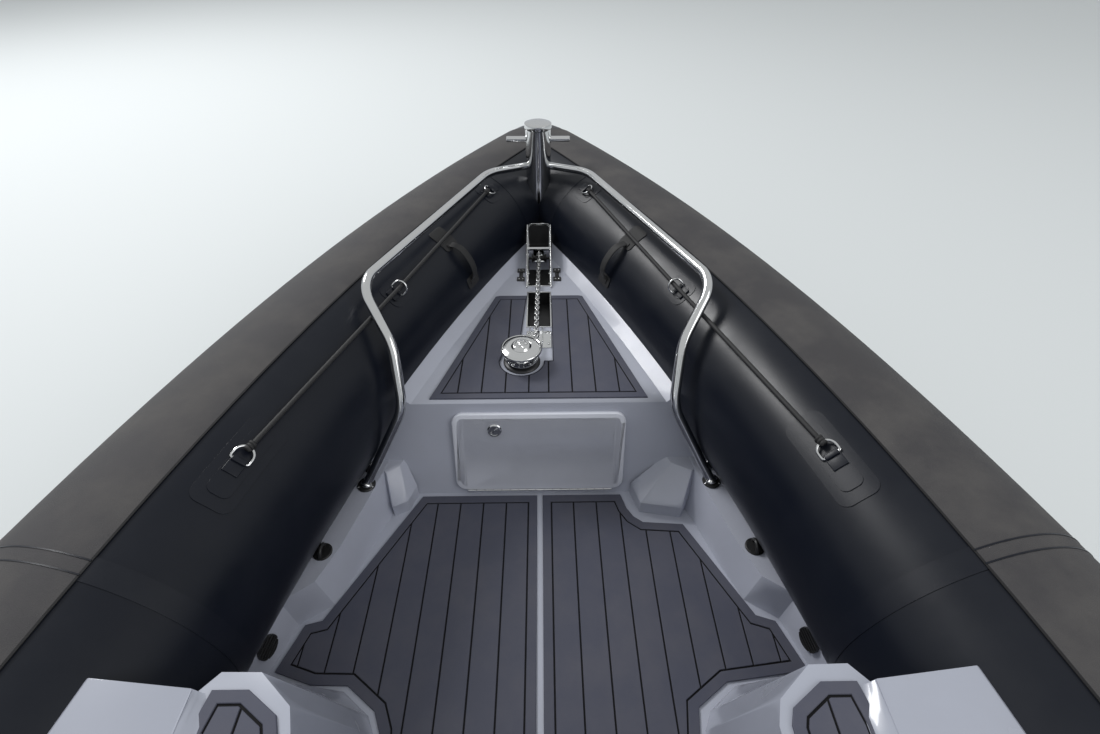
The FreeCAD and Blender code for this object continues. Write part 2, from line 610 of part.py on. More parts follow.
# Windlass: a fixed base on the foredeck, and a chain wheel with its cap that turns on it.
windlass_at = ("Sizes.windlassX", "Sizes.windlassY", "Sizes.foredeckHeight + Sizes.gap")
base = turned("windlass_base", ((0, 0), (66, 0), (66, 5), (60, 9), (44, 12), (36, "Sizes.baseTall"),
                                (0, "Sizes.baseTall")), windlass_at)
keep(base, "windlass_base")
wheel_base = (windlass_at[0], windlass_at[1], windlass_at[2] + " + Sizes.baseTall + Sizes.gap")
WHEEL = ((0, 0), ("Sizes.gypsyRadius + 8", 0), ("Sizes.gypsyRadius + 10", 3), ("Sizes.gypsyRadius - 14", 5),
         ("Sizes.gypsyRadius - 16", 8), ("Sizes.gypsyRadius - 16", 33), ("Sizes.gypsyRadius - 14", 36),
         ("Sizes.gypsyRadius + 10", 38), ("Sizes.windlassRadius - 2", 40), ("Sizes.windlassRadius", 43),
         ("Sizes.windlassRadius", 48), ("Sizes.windlassRadius - 3", 51), (34, 58), (30, 64), (27, 66), (0, 66))
gypsy = turned("windlass_gypsy", WHEEL, wheel_base)
plane = "XY_Plane"
pocket = gypsy.newObject("PartDesign::Pocket", "chain_pocket")
pocket.Profile = sketch(gypsy, "pocket_outline", plane, (
    ("Sizes.gypsyRadius - 4", -7), ("Sizes.gypsyRadius + 14", -12),
    ("Sizes.gypsyRadius + 14", 12), ("Sizes.gypsyRadius - 4", 7)), Placement(Vector(0, 0, 6), Rotation()))
pocket.Length = 7
doc.recompute()
pockets = gypsy.newObject("PartDesign::PolarPattern", "chain_pockets")
pockets.Originals = [pocket]
pockets.Axis = (next(f for f in gypsy.Origin.OriginFeatures if f.Role == "Z_Axis"), [""])
pockets.Angle = 360
pockets.Occurrences = 8
gypsy.Tip = pockets
doc.recompute()
key = gypsy.newObject("PartDesign::Pocket", "cap_socket")
key.Profile = sketch(gypsy, "socket_outline", plane, ((-4, -13), (4, -13), (4, 13), (-4, 13)),
                     Placement(Vector(0, 0, 66), Rotation()))
key.Length = 9
doc.recompute()
keys = gypsy.newObject("PartDesign::PolarPattern", "cap_star")
keys.Originals = [key]
keys.Axis = pockets.Axis
keys.Angle = 360
keys.Occurrences = 3
gypsy.Tip = keys
keep(gypsy, "windlass_gypsy")

# Chain plate: a stainless channel forward of the windlass, with two upstanding cheeks.
plate_z = size.foredeckHeight + size.gap
plate = box((-47, size.windlassY - 180, plate_z), (47, size.windlassY - 30, plate_z + 3))
cheeks = [box((size.chainX + x - 2, size.windlassY - 178, plate_z), (size.chainX + x + 2, size.windlassY - 92, plate_z + 24))
          for x in (-24, 24)]
plate = plate.fuse(cheeks).cut(Part.makeCylinder(size.windlassRadius - 5, 90, Vector(size.windlassX, size.windlassY, plate_z - 9)))
feature("chain_plate", plate.removeSplitter())

# Anchor gear: a hoop across the hawse with a cheek each side that slopes down aft, a bar at its foot, and
# a roller on a pin between the walls of the hawse.
hoop_y, hoop_tall, cheek_x = -3466, 130, 54
CHEEK = ((hoop_y + 4, 0), (hoop_y + 4, hoop_tall - 2), (-3130, 4), (-3130, 0))
frame = [prism([Vector(x, y, plate_z + z) for y, z in CHEEK], Vector(4, 0, 0)) for x in (-cheek_x, cheek_x - 4)]
hoop = box((-cheek_x, hoop_y, plate_z), (cheek_x, hoop_y + 4, plate_z + hoop_tall))
hoop = hoop.makeFillet(18, [edge for edge in hoop.Edges if along(edge, Vector(0, 1, 0)) and edge.CenterOfMass.z > plate_z + 9])
inside = box((-cheek_x + 8, hoop_y - 5, plate_z + 6), (cheek_x - 8, hoop_y + 9, plate_z + hoop_tall - 8))
hoop = hoop.cut(inside.makeFillet(12, [edge for edge in inside.Edges if along(edge, Vector(0, 1, 0))]))
foot_bar = Part.makeCylinder(9, 2 * cheek_x - 4, Vector(2 - cheek_x, hoop_y + 14, plate_z + 10), Vector(1, 0, 0))
roller = Vector(0, -3405, size.foredeckHeight - 14)
wall = CHAIN_SLOTS[0][0] - size.gap
outline = [Vector(r, 0, h) for r, h in ((0, -wall), (6, -wall), (6, -34), (19, -34), (19, -30), (12, -22),
                                        (12, 22), (19, 30), (19, 34), (6, 34), (6, wall), (0, wall))]
spool = Part.Face(wire(outline)).revolve(Vector(0, 0, 0), Vector(0, 0, 1), 360)
spool.Placement = Placement(roller, Rotation(Vector(0, 1, 0), 90))
feature("anchor_roller", frame[0].fuse([frame[1], hoop, foot_bar]).removeSplitter(), spool)


# Anchor chain: flat-sided links, each turned a quarter from the last, from the chain wheel over the
# roller and down the hawse.
def chain_link():
    """One closed link along X: a ring of six-sided wire round an oval of straight sides and half turns."""
    bend = size.linkWidth / 2 - size.wireRadius
    straight = size.linkPitch / 2 + size.wireRadius + size.gap / 2 - bend
    spine = []
    for centre, start in ((straight, -90), (-straight, 90)):
        for turn in (0, 45, 90, 135, 180):
            angle = math.radians(start + turn)
            spine.append((centre, angle))
    rings = []
    for centre, angle in spine:
        across = Vector(math.cos(angle), math.sin(angle), 0)
        rings.append([Vector(centre, 0, 0) + across * (bend + size.wireRadius * math.cos(math.radians(60 * k)))
                      + Vector(0, 0, size.wireRadius * math.sin(math.radians(60 * k))) for k in range(6)])
    faces = []
    for ring, after in zip(rings, rings[1:] + rings[:1]):
        for k in range(6):
            faces.append(Part.Face(wire([ring[k], after[k], after[k - 5], ring[k - 5]])))
    solid = Part.Solid(Part.Shell(faces))
    return solid if solid.Volume > 0 else solid.reversed()


wheel_z = plate_z + size.baseTall + size.gap + 20.5
chain_start = Vector(size.windlassX - size.gypsyRadius, size.windlassY - 6, wheel_z)
turn_radius = 12 + size.linkWidth / 2 + size.gap
down = math.atan(-hawse_slope)
level = math.atan((wheel_z - roller.z - turn_radius) / (size.windlassY - roller.y))
crest = (down + level) / 2
over = roller + Vector(0, -math.sin(crest), math.cos(crest)) * turn_radius
along_crest = Vector(0, -math.cos(crest), -math.sin(crest))
hook = size.linkPitch / 3
back_from, ahead_from = over - along_crest * hook, over + along_crest * hook
back = chain_start - back_from
count = int(back.Length / size.linkPitch - 0.5)
back.normalize()
ahead = Vector(0, -math.cos(down), -math.sin(down))
spots = [(back_from + back * (size.linkPitch * i - hook + size.gap), back * -1, i % 2) for i in range(count, 0, -1)]
spots.append((over, along_crest, 0))
spots += [(ahead_from + ahead * (size.linkPitch * i - hook + size.gap), ahead, i % 2) for i in range(1, 9)]
link = chain_link()
links = []
for spot, way, flat in spots:
    side = way.cross(Vector(0, 0, 1)).normalize()
    if not flat:
        side = way.cross(side)
    copy = link.copy()
    copy.Placement = Placement(spot, Rotation(way, side, way.cross(side), "XYZ"))
    links.append(copy)
feature("anchor_chain", *links)

# Small black pads beside the slot, and the drains, eyes and cleats of the side decks.
feature("hatch_pads", *both(box((62, -3284, plate_z), (95, -3184, plate_z + 5))))
DRAIN_Y, DRAIN_Z = -1775, 288
(y_low, in_low, _), (y_high, in_high, _) = WELL[4], WELL[5]
x_low, x_high = axis_at(y_low)[0].x - in_low, axis_at(y_high)[0].x - in_high
lean = (WELL[5][1] - WELL[5][2]) / (size.coamingHeight - size.deckHeight)
share = (DRAIN_Y - y_low) / (y_high - y_low)
wall = Vector(x_low + (x_high - x_low) * share + lean * (DRAIN_Z - size.deckHeight), DRAIN_Y, DRAIN_Z)
inward = Vector(y_high - y_low, x_low - x_high, 0).cross(Vector(0, 0, 1))
inward = Vector(-(y_high - y_low), x_high - x_low, lean * (y_high - y_low)).normalize()
drain = Part.makeCylinder(34, 9, wall + inward * 1.0, inward)
ribs = [Part.makeBox(5, 60, 8, Vector(-22 + 11 * i, -30, 4)) for i in range(5)]
for rib in ribs:
    rib.Placement = Placement(wall + inward * 1.0, Rotation(Vector(0, 0, 1), inward))
drain = drain.cut(ribs)
feature("drains", *both(drain))


def deck_eye(x, y, z, bend, thick):
    """An upright half ring on a round foot."""
    foot = Part.makeCylinder(bend + thick + 3, 5, Vector(x, y, z))
    section = Part.Face(Part.Wire([Part.Circle(Vector(x, y - bend, z + 4), Vector(0, 0, 1), thick).toShape()]))
    ring = section.revolve(Vector(x, y, z + 4), Vector(-1, 0, 0), 180)
    return foot.fuse(ring)


shelf_z = size.coamingHeight + size.gap


def under_tube(y, clear):
    """The place on the shelf that lies a clearance inboard of the tube's side."""
    centre, outboard = axis_at(y)
    return centre - outboard * (under + clear)


eye_at, cleat_at = under_tube(-2405, 34), under_tube(-2080, 42)
feature("side_eyes", *both(deck_eye(eye_at.x, eye_at.y, shelf_z, 17, 4)))
feature("side_cleats", *both(deck_eye(cleat_at.x, cleat_at.y, shelf_z, 20, 6)))


# Fittings bonded to the tubes: ring patches, rings, handles and the holders of the lifelines.
def patch(y, length, start, end, thick, corner):
    """A sheet that follows the port tube, between two angles round it."""
    centre, outboard = axis_at(y)
    if y < side_y:
        hub = side_centre if (centre - side_centre).dot(outboard) > 0.99 * size.sideCurve \
            and math.asin((side_y - y) / size.sideCurve) <= TURN else bow_centre
    else:
        hub = side_centre
    curve = size.sideCurve if hub is side_centre else size.bowCurve
    turn = math.degrees(length / curve)
    band = []
    for radius in (size.tubeRadius + size.gap, size.tubeRadius + size.gap + thick):
        band.append([centre + (outboard * math.sin(math.radians(a)) + Vector(0, 0, math.cos(math.radians(a)))) * radius
                     for a in (start, (start + end) / 2, end)])
    face = Part.Face(Part.Wire([Part.Arc(*band[0]).toShape(), Part.makeLine(band[0][2], band[1][2]),
                                Part.Arc(*reversed(band[1])).toShape(), Part.makeLine(band[1][0], band[0][0])]))
    sheet_shape = face.rotated(hub, Vector(0, 0, 1), -turn / 2).revolve(hub, Vector(0, 0, 1), turn)
    short = [edge for edge in sheet_shape.Edges if edge.Length < thick * 1.2]
    return sheet_shape.makeFillet(corner, short)


def tube_place(y, angle, lift, twist=0):
    """A frame on the port tube: X aft along it, Z out of it."""
    spot, normal = on_tube(y, angle, lift)
    centre, outboard = axis_at(y)
    tilt = sheer_tilt(y)
    ahead = Vector(-outboard.y, outboard.x * math.cos(tilt), -math.sin(tilt)).normalize()
    return Placement(spot, Rotation(ahead, normal.cross(ahead), normal, "ZXY") * Rotation(Vector(0, 0, 1), twist))


RINGS = (
    # station, degrees from the crown, patch length, patch from, patch to, turn of the ring
    (-3552, -31, 120, -21, -41, 0),
    (-2800, -40, 110, -31, -49, 0),
    (-2030, -37, 262, -28, -48, 0),
)
sheet_thick = 3
tab = Part.makeBox(30, 20, 12, Vector(-15, -10, 0))
bar_z = 6
tab = tab.cut(Part.makeCylinder(size.ringWire + size.gap, 40, Vector(-20, 0, bar_z), Vector(1, 0, 0)))
half_ring = Part.Face(Part.Wire([Part.Circle(Vector(size.ringRadius, 0, 0), Vector(0, 1, 0), size.ringWire).toShape()]))
half_ring = half_ring.revolve(Vector(0, 0, 0), Vector(0, 0, 1), 180)
ring_bar = Part.makeCylinder(size.ringWire, 2 * size.ringRadius + 6, Vector(-size.ringRadius - 3, 0, 0), Vector(1, 0, 0))
patches, rings, ring_spots = [], [], []
for y, angle, length, start, end, twist in RINGS:
    lift = size.gap + sheet_thick
    sheet_shape = patch(y, length, start, end, sheet_thick, 22)
    block = tab.copy()
    block.Placement = tube_place(y, angle, lift - 1, twist)
    patches.append(sheet_shape.fuse(block))
    ring = half_ring.fuse(ring_bar)
    ring.rotate(Vector(0, 0, 0), Vector(1, 0, 0), 14)
    ring.translate(Vector(0, 0, bar_z))
    ring.Placement = tube_place(y, angle, lift - 1, twist) * ring.Placement
    rings.append(ring)
    ring_spots.append(tube_place(y, angle, lift - 1 + bar_z, twist))
feature("tube_patches", *[shape for item in patches for shape in both(item)])
feature("tow_rings", *[shape for item in rings for shape in both(item)])

handle_y = -3150
ends = [patch(handle_y, 74, a, b, sheet_thick + 2, 10) for a, b in ((-27, -45), (-71, -79))]
hold = [on_tube(handle_y, a, lift)[0] for a, lift in ((-42, 3), (-49, 34), (-66, 34), (-73, 3))]
along_tube = Vector(-axis_at(handle_y)[1].y, axis_at(handle_y)[1].x, 0)
normal = (hold[1] - hold[0]).cross(along_tube).normalize()
first = hold[0]
strap_face = Part.Face(wire([first + along_tube * u + normal * v for u, v in ((-17, -3), (17, -3), (17, 3), (-17, 3))]))
strap = sweep(rounded_path(hold, [24, 24]), strap_face)
feature("lift_handles", *both(strap.fuse(ends).removeSplitter()))

# Lifelines: a rope outside through rubber holders, and a rope inside between the rings.
rope_lift = size.ropeRadius + 3
rope_out = (size.tubeRadius + rope_lift) * math.sin(math.radians(size.ropeAngle))
rope_up = (size.tubeRadius + rope_lift) * math.cos(math.radians(size.ropeAngle))
outer_rope = pipe(side_path(rope_out, rope_up, BOW_TURN - 420 / size.bowCurve), size.ropeRadius)
feature("lifelines_outer", *both(outer_rope))
HOLDERS = (-3730, -3180, -2560, -1900, -1180, -420, 380, 1180, 1980, 2780, 3560)
holder = Part.makeBox(66, 46, 8, Vector(-33, -23, -5)).fuse(
    Part.makeBox(40, 24, 2 * size.ropeRadius + 10, Vector(-20, -12, -3)))
holder = holder.cut([Part.makeCylinder(size.ropeRadius + 0.8, 120, Vector(-60, 0, rope_lift - 0.4), Vector(1, 0, 0)),
                     Part.makeCylinder(size.tubeRadius + size.gap, 120, Vector(-60, 0, -size.tubeRadius), Vector(1, 0, 0))])
holders = []
for y in HOLDERS:
    item = holder.removeSplitter()
    item.Placement = tube_place(y, size.ropeAngle, 0.4)
    holders.append(item)
feature("line_holders", *[shape for item in holders for shape in both(item)])
spots = [ring_spots[0].multVec(Vector(size.ringRadius + 14, 0, 7.7)), ring_spots[1].multVec(Vector(0, 0, 20)),
         ring_spots[2].multVec(Vector(-size.ringRadius - 14, 0, 7.7))]
inner_rope = pipe(rounded_path(spots, [900]), size.ropeRadius)
knots = [Part.makeCylinder(12, 22, spots[0] - (spots[1] - spots[0]).normalize() * 8, spots[1] - spots[0]),
         Part.makeCylinder(12, 22, spots[2] - (spots[1] - spots[2]).normalize() * 8, spots[1] - spots[2])]
feature("lifelines_inner", *both(inner_rope.fuse(knots)))

# Consoles: forward step, side wing that keeps just inside the tube, and the raised dash behind them.
STEP_FOOT = ((0, 700), (0, 20), (12, -60), (36, -106), (116, -166), (226, -168), (268, -130), (268, 700))
STEP_TOP = ((4, 700), (0, 100), (15, 58), (85, 1), (158, 0), (190, 36), (230, 90), (230, 700))
floor_low = size.deckHeight + size.gap


def wing_edge(y):
    return axis_at(y)[0].x - size.tubeRadius - 6


outer = wing_edge(size.consoleBack)
screen_wide = wing_edge(size.consoleFront) - inner - 14
WING_STATIONS = [size.stepNose + 15, size.stepNose + 95, -1250, -1000, -700, -400, size.consoleBack]
wing_in = inner + 186
for side, sign in SIDES:
    step = Part.makeLoft([wire([Vector(inner + x, size.stepNose + y, z) for x, y in outline])
                          for outline, z in ((STEP_FOOT, floor_low), (STEP_TOP, size.stepHeight))], True, True)
    step = step.common(box((inner, -3000, 0), (outer, size.consoleFront + 40, 2000)))
    edge = [Vector(wing_edge(y) - (28 if i == 0 else 0), y, size.coamingHeight + size.gap)
            for i, y in enumerate(WING_STATIONS)]
    wing = prism(edge + [Vector(wing_in, size.consoleBack, edge[0].z), Vector(wing_in, size.stepNose + 36, edge[0].z)],
                 Vector(0, 0, size.wingHeight - edge[0].z))
    back = box((inner, size.consoleFront, floor_low), (wing_in + 50, size.consoleBack, size.wingHeight))
    profile = ((size.consoleFront, size.wingHeight - 5), (size.consoleFront + 90, size.consoleTall - 60),
               (size.consoleFront + 150, size.consoleTall - 20), (size.dashFront, size.consoleTall),
               (size.dashFront + 230, size.consoleTall - 200), (size.consoleBack, size.consoleTall - 240),
               (size.consoleBack, size.wingHeight - 5))
    upper = prism([Vector(inner + 14, y, z) for y, z in profile], Vector(outer - inner - 14, 0, 0))
    plan_cut = prism([Vector(outer + 60, y, size.wingHeight - 9) for y in (size.consoleFront - 60, size.consoleBack + 9)]
                     + [Vector(wing_edge(y), y, size.wingHeight - 9) for y in (size.consoleBack + 9, -500, size.consoleFront - 60)],
                     Vector(0, 0, 900))
    upper = upper.cut(plan_cut)
    ridge = [edge for edge in upper.Edges if abs(edge.tangentAt(edge.FirstParameter).x) > 0.9
             and edge.CenterOfMass.z > size.consoleTall - 90 and edge.CenterOfMass.y < size.dashFront + 10]
    upper = upper.makeFillet(14, ridge)
    console = step.fuse([wing, back, upper]).removeSplitter()
    feature(f"console_{side}", console if sign > 0 else flip(console))

# Windscreens: a raked pane on each console in a bent frame.
screen_y, screen_z = size.consoleFront + 165, size.consoleTall - 12
rake_out = 250
pane_in, pane_wide = inner + 30, screen_wide - 36
frame_radius = 11
lean = Vector(0, rake_out, size.screenTall).normalize()
for side, sign in SIDES:
    glass = Part.makeBox(pane_wide - 2 * frame_radius - 2 * size.gap, size.screenThick, size.screenTall - 8)
    glass = glass.makeFillet(36, [edge for edge in glass.Edges if along(edge, Vector(0, 1, 0))
                                  and edge.CenterOfMass.z > size.screenTall / 2])
    glass.Placement = Placement(Vector(pane_in + frame_radius + size.gap, screen_y, screen_z) + lean * 6,
                                Rotation(Vector(1, 0, 0), -math.degrees(math.atan2(lean.y, lean.z))))
    feature(f"windscreen_{side}", glass if sign > 0 else flip(glass))
foot = Vector(pane_in, screen_y + size.screenThick / 2, screen_z)
head = lean * (size.screenTall + 12)
across = Vector(pane_wide, 0, 0)
frame = pipe(rounded_path([foot - lean * 20, foot + head, foot + head + across, foot + across - lean * 20], [45, 45]), frame_radius)
flat_front, flat_low = size.consoleFront + 150, size.consoleTall - 20
frame = frame.cut(prism([Vector(0, flat_front - 60, 0), Vector(0, flat_front - 60, flat_low + size.gap),
                         Vector(0, flat_front, flat_low + size.gap), Vector(0, size.dashFront, size.consoleTall + size.gap),
                         Vector(0, size.dashFront, 0)], Vector(reach, 0, 0)))
feature("windscreen_frames", *both(frame))

# Helm on the starboard console: wheel, instruments and throttle; instruments on the port one too.
dash_tilt = math.degrees(math.atan2(200, 230))
helm_turn = Rotation(Vector(1, 0, 0), -dash_tilt)
helm_x = -(inner + 14 + wing_edge(size.dashFront + 115)) / 2
dash_at = Vector(helm_x, size.dashFront + 115, size.consoleTall - 100)
helm = dash_at + helm_turn.multVec(Vector(0, 0, 70))
rim = primitive("Torus", "WheelRim", {"Radius1": "Sizes.wheelRadius - 13", "Radius2": "13"})
hub = primitive("Cylinder", "WheelHub", {"Radius": "34", "Height": "80 - Sizes.gap",
                                         "Placement.Base.z": "Sizes.gap - 70"})
spokes = []
for i in range(3):
    spoke = primitive("Cylinder", f"WheelSpoke{i}", {"Radius": "8", "Height": "Sizes.wheelRadius - 13"})
    spoke.Placement = Placement(Vector(0, 0, -4), Rotation(Vector(0, 0, 1), 90 + 120 * i) * Rotation(Vector(0, 1, 0), 88.6))
    spokes.append(spoke)
wheel = joined("helm_wheel", [rim, hub] + spokes)
doc.recompute()
wheel.Placement = Placement(helm, helm_turn)
panels = []
for x, wide in ((helm_x - 97, 110), (-helm_x, 190)):
    plate = Part.makeBox(wide, 150, 12, Vector(-wide / 2, -75, size.gap))
    plate = plate.makeFillet(10, [edge for edge in plate.Edges if along(edge, Vector(0, 0, 1))])
    plate.Placement = Placement(Vector(x, dash_at.y, dash_at.z), helm_turn)
    panels.append(plate)
feature("instrument_panel", *panels)
top_lean = math.degrees(math.atan2(20, size.dashFront - size.consoleFront - 150))
lever_y = size.dashFront - 70
lever_at = Vector(-(inner + 62), lever_y, size.consoleTall - 70 * math.tan(math.radians(top_lean)))
throttle = Part.makeBox(56, 100, 26, Vector(-28, -50, size.gap)).fuse(
    [Part.makeCylinder(10, 110, Vector(0, 0, 16), Vector(0, -0.25, 1)),
     Part.makeCylinder(14, 70, Vector(-35, -27, 122), Vector(1, 0, 0))])
throttle.Placement = Placement(lever_at, Rotation(Vector(1, 0, 0), top_lean))
feature("throttle", throttle)

# Grab rails on the outer and forward faces of the consoles.
rail_in, rail_out, rail_y = inner + 50, inner + screen_wide - 26, size.consoleFront + 22
face_z = size.wingHeight + 250
grab = pipe(rounded_path([Vector(rail_in, rail_y + 60, face_z), Vector(rail_in, rail_y - 55, face_z),
                          Vector(rail_out, rail_y - 55, face_z), Vector(rail_out, rail_y + 60, face_z)], [40, 40]), 13)
face_lean = 90 / (size.consoleTall - 60 - size.wingHeight + 5)
face_y = size.consoleFront + (face_z - size.wingHeight) * face_lean
console_solid = prism([Vector(0, size.consoleFront + (z - size.wingHeight + 5) * face_lean - size.gap, z)
                       for z in (size.wingHeight, size.consoleTall - 60)]
                      + [Vector(0, 0, size.consoleTall - 60), Vector(0, 0, size.wingHeight)], Vector(outer + 50, 0, 0))
feature("grab_rails", *both(grab.cut(console_solid)))

# Seats: a moulded pedestal with a cushion and a back for each helm place, and a bench across the stern.
seat_y = 330
for side, sign in SIDES:
    low = f"{'-' if sign < 0 else ''}(Sizes.walkway / 4 + (Sizes.halfBeam - Sizes.tubeRadius) / 2)"
    base = pad(f"seat_base_{side}", "YZ_Plane", ((30, 0), (400, 0), (430, "Sizes.seatHigh - 60"),
                                                 (430, "Sizes.seatHigh"), (0, "Sizes.seatHigh"), (0, "Sizes.seatHigh - 60")),
               "Sizes.seatWide - 40", (low + " - Sizes.seatWide / 2 + 20", seat_y, "Sizes.deckHeight + Sizes.gap"))
    rounded(base, 30, lambda edge: along(edge, Vector(0, 0, 1)) or along(edge, Vector(0, 30, 560)))
    keep(base, f"seat_base_{side}")
    seat_low = "Sizes.deckHeight + Sizes.seatHigh + 2 * Sizes.gap"
    left = low + " - Sizes.seatWide / 2"
    block = cushion(f"SeatBlock{side}", ("Sizes.seatWide", "430", "120"), (left, seat_y - 30, seat_low), 35)
    rest = cushion(f"SeatRest{side}", ("Sizes.seatWide", "130", "520"), (left, seat_y + 330, seat_low), 40)
    joined(f"seat_cushion_{side}", [block, rest])
bench_y = size.wellEnd - 300
bench = pad("bench_base", "YZ_Plane", ((60, 0), (600, 0), (600, "Sizes.benchHigh"), (0, "Sizes.benchHigh"), (0, "Sizes.benchHigh - 80")),
            "2 * (Sizes.halfBeam - 480)", ("480 - Sizes.halfBeam", "Sizes.wellEnd - 900", "Sizes.deckHeight + Sizes.gap"))
rounded(bench, 25, lambda edge: along(edge, Vector(0, 0, 1)) or along(edge, Vector(0, 60, -270)))
keep(bench, "bench_base")
bench_low = "Sizes.deckHeight + Sizes.benchHigh + 2 * Sizes.gap"
block = cushion("BenchBlock", ("2 * (Sizes.halfBeam - 480)", "540", "120"), ("480 - Sizes.halfBeam", "Sizes.wellEnd - 920", bench_low), 35)
rest = cushion("BenchRest", ("2 * (Sizes.halfBeam - 480)", "150", "440"), ("480 - Sizes.halfBeam", "Sizes.wellEnd - 470", bench_low), 40)
joined("bench_cushion", [block, rest])

# Arch over the stern, with feet plates on the side shelves and a navigation light.
foot_x = size.halfBeam - 350
foot = Vector(foot_x, 3420, size.coamingHeight + size.gap)
ARCH = (foot, Vector(foot_x, 3300, 1500), Vector(foot_x - 110, 3150, 2150), Vector(110 - foot_x, 3150, 2150),
        Vector(-foot_x, 3300, 1500), Vector(-foot.x, foot.y, foot.z))
hoop_path = [foot + (foot - ARCH[1]).normalize() * 30] + list(ARCH[1:5]) + [ARCH[5] + (ARCH[5] - ARCH[4]).normalize() * 30]
arch = pipe(rounded_path(hoop_path, [180] * 4), 38)
spreader = rod(Vector(-foot_x + 62, 3194, 1960), Vector(foot_x - 62, 3194, 1960), 22)
plates = [Part.makeCylinder(56, 10, p) for p in (foot, ARCH[5])]
arch = arch.fuse([spreader] + plates).cut(box((-reach, 3000, 0), (reach, 3800, foot.z)))
feature("arch", arch.removeSplitter())
light = turned("nav_light", ((0, 0), (26, 0), (26, 12), (14, 16), (14, 92), (24, 94), (24, 136), (17, 142), (0, 142)),
               ("0", "3150", str(2150 + 38 + size.gap)))
keep(light, "nav_light")

# Cleats on the after shelves and a fuel filler to port.
cleat_y = size.wellEnd + 420
cleats = []
for sign in (1, -1):
    x = sign * (size.halfBeam - 352)
    z = size.coamingHeight + size.gap
    posts = [Part.makeCone(17, 10, 34, Vector(x, cleat_y + dy, z)) for dy in (-38, 38)]
    horn = Part.makeCylinder(9, 210, Vector(x, cleat_y - 105, z + 38), Vector(0, 1, 0))
    cleats.append(posts[0].fuse([posts[1], horn, box((x - 20, cleat_y - 62, z), (x + 20, cleat_y + 62, z + 6))]).removeSplitter())
feature("stern_cleats", *cleats)
filler = turned("fuel_filler", ((0, 0), (42, 0), (42, 4), (38, 7), (30, 7), (28, 5), (0, 5)),
                ("Sizes.halfBeam - 560", "Sizes.wellEnd + 330", "Sizes.coamingHeight + Sizes.gap"))
keep(filler, "fuel_filler")

# Outboard engine: clamp bracket on the transom, a swivel that tilts between its arms, and the power
# head, leg and gearcase that steer round the swivel tube.
clamp = pad("engine_bracket", "YZ_Plane",
            ((0, 60), (45, 60), (112, 210), (118, "Sizes.tiltHeight - 10"), (98, "Sizes.tiltHeight + 38"),
             (0, "Sizes.tiltHeight + 38")), 280, ("-140", "Sizes.transomY + Sizes.gap", "0"))
gap_cut = clamp.newObject("PartDesign::Pocket", "swivel_space")
gap_cut.Profile = sketch(clamp, "space_outline", "XZ_Plane", ((60, 205), (220, 205), (220, "Sizes.tiltHeight + 60"), (60, "Sizes.tiltHeight + 60")),
                         Placement(Vector(0, 0, -40), Rotation()))
gap_cut.Length = 200
doc.recompute()
keep(clamp, "engine_bracket")
pivot = Vector(0, size.transomY + 75, size.tiltHeight)
swivel = Part.makeCylinder(62, 300, Vector(0, size.engineY, 90)).fuse(
    [Part.makeCylinder(34, 160 - 2 * size.gap, pivot - Vector(80 - size.gap, 0, 0), Vector(1, 0, 0)),
     box((-60, pivot.y, size.tiltHeight - 90), (60, size.engineY, size.tiltHeight - 5))])
swivel = swivel.cut(box((-63, size.engineY - 63, 390), (63, size.engineY + 63, 500)).cut(
    Part.makeCylinder(35, 200, pivot - Vector(100, 0, 0), Vector(1, 0, 0))))
feature("engine_swivel", swivel.removeSplitter())
COWL = (
    # height, front, half width at the front, at the middle and at the back, back
    (520, -60, 120, 190, 130, 480),
    (575, -100, 165, 240, 170, 560),
    (640, -118, 185, 268, 190, 610),
    (860, -122, 190, 280, 200, 645),
    (1030, -105, 170, 258, 188, 640),
    (1130, -60, 135, 215, 155, 600),
    (1180, 10, 90, 150, 105, 520),
)
rings = []
for level, front, front_half, middle, back_half, rear in COWL:
    half = [(front_half * 0.55, front), (front_half, front + 40), (middle * 0.94, 70), (middle, 220),
            (middle * 0.94, 370), (back_half, rear - 70), (back_half * 0.6, rear)]
    rings.append(mirrored_wire([Vector(x, y + size.engineY, level) for x, y in half]))
feature("engine_cowl", Part.makeLoft(rings, True, True))
leg_top = COWL[0][0] - size.gap
LEG = (
    # height, front, half width, back
    (-600, 130, 30, 330), (-440, 105, 38, 335), (-395, 90, 60, 345), (-120, 85, 78, 335), (140, 80, 84, 325), (leg_top, 76, 92, 330),
)
rings = []
for level, front, half_wide, rear in LEG:
    outline = [(half_wide * 0.35, front), (half_wide, front + 60), (half_wide * 0.85, rear - 70), (half_wide * 0.25, rear)]
    rings.append(mirrored_wire([Vector(x, y + size.engineY, level) for x, y in outline]))
leg = Part.makeLoft(rings, True, True)
outline = [Vector(r, 0, h) for r, h in ((0, 0), (24, 14), (48, 48), (66, 105), (75, 180), (75, 300), (66, 380), (60, 430), (0, 430))]
gearcase = Part.Face(wire(outline)).revolve(Vector(0, 0, 0), Vector(0, 0, 1), 360)
gearcase.Placement = Placement(Vector(0, size.engineY, size.propHeight), Rotation(Vector(1, 0, 0), -90))
plate = prism([Vector(x, size.engineY + y, -420) for x, y in ((-60, -40), (60, -40), (135, 160), (150, 600), (-150, 600), (-135, 160))],
              Vector(0, 0, 16))
skeg = prism([Vector(-7, size.engineY + y, size.propHeight - z) for y, z in ((110, 55), (330, 55), (350, 230), (250, 236))], Vector(14, 0, 0))
leg = leg.fuse([gearcase, plate, skeg,
                box((-80, size.engineY - 50, 390 + size.gap), (80, size.engineY + 90, leg_top)),
                box((-70, size.engineY - 50, 20), (70, size.engineY + 100, 90 - size.gap))])
feature("engine_leg", leg.removeSplitter())

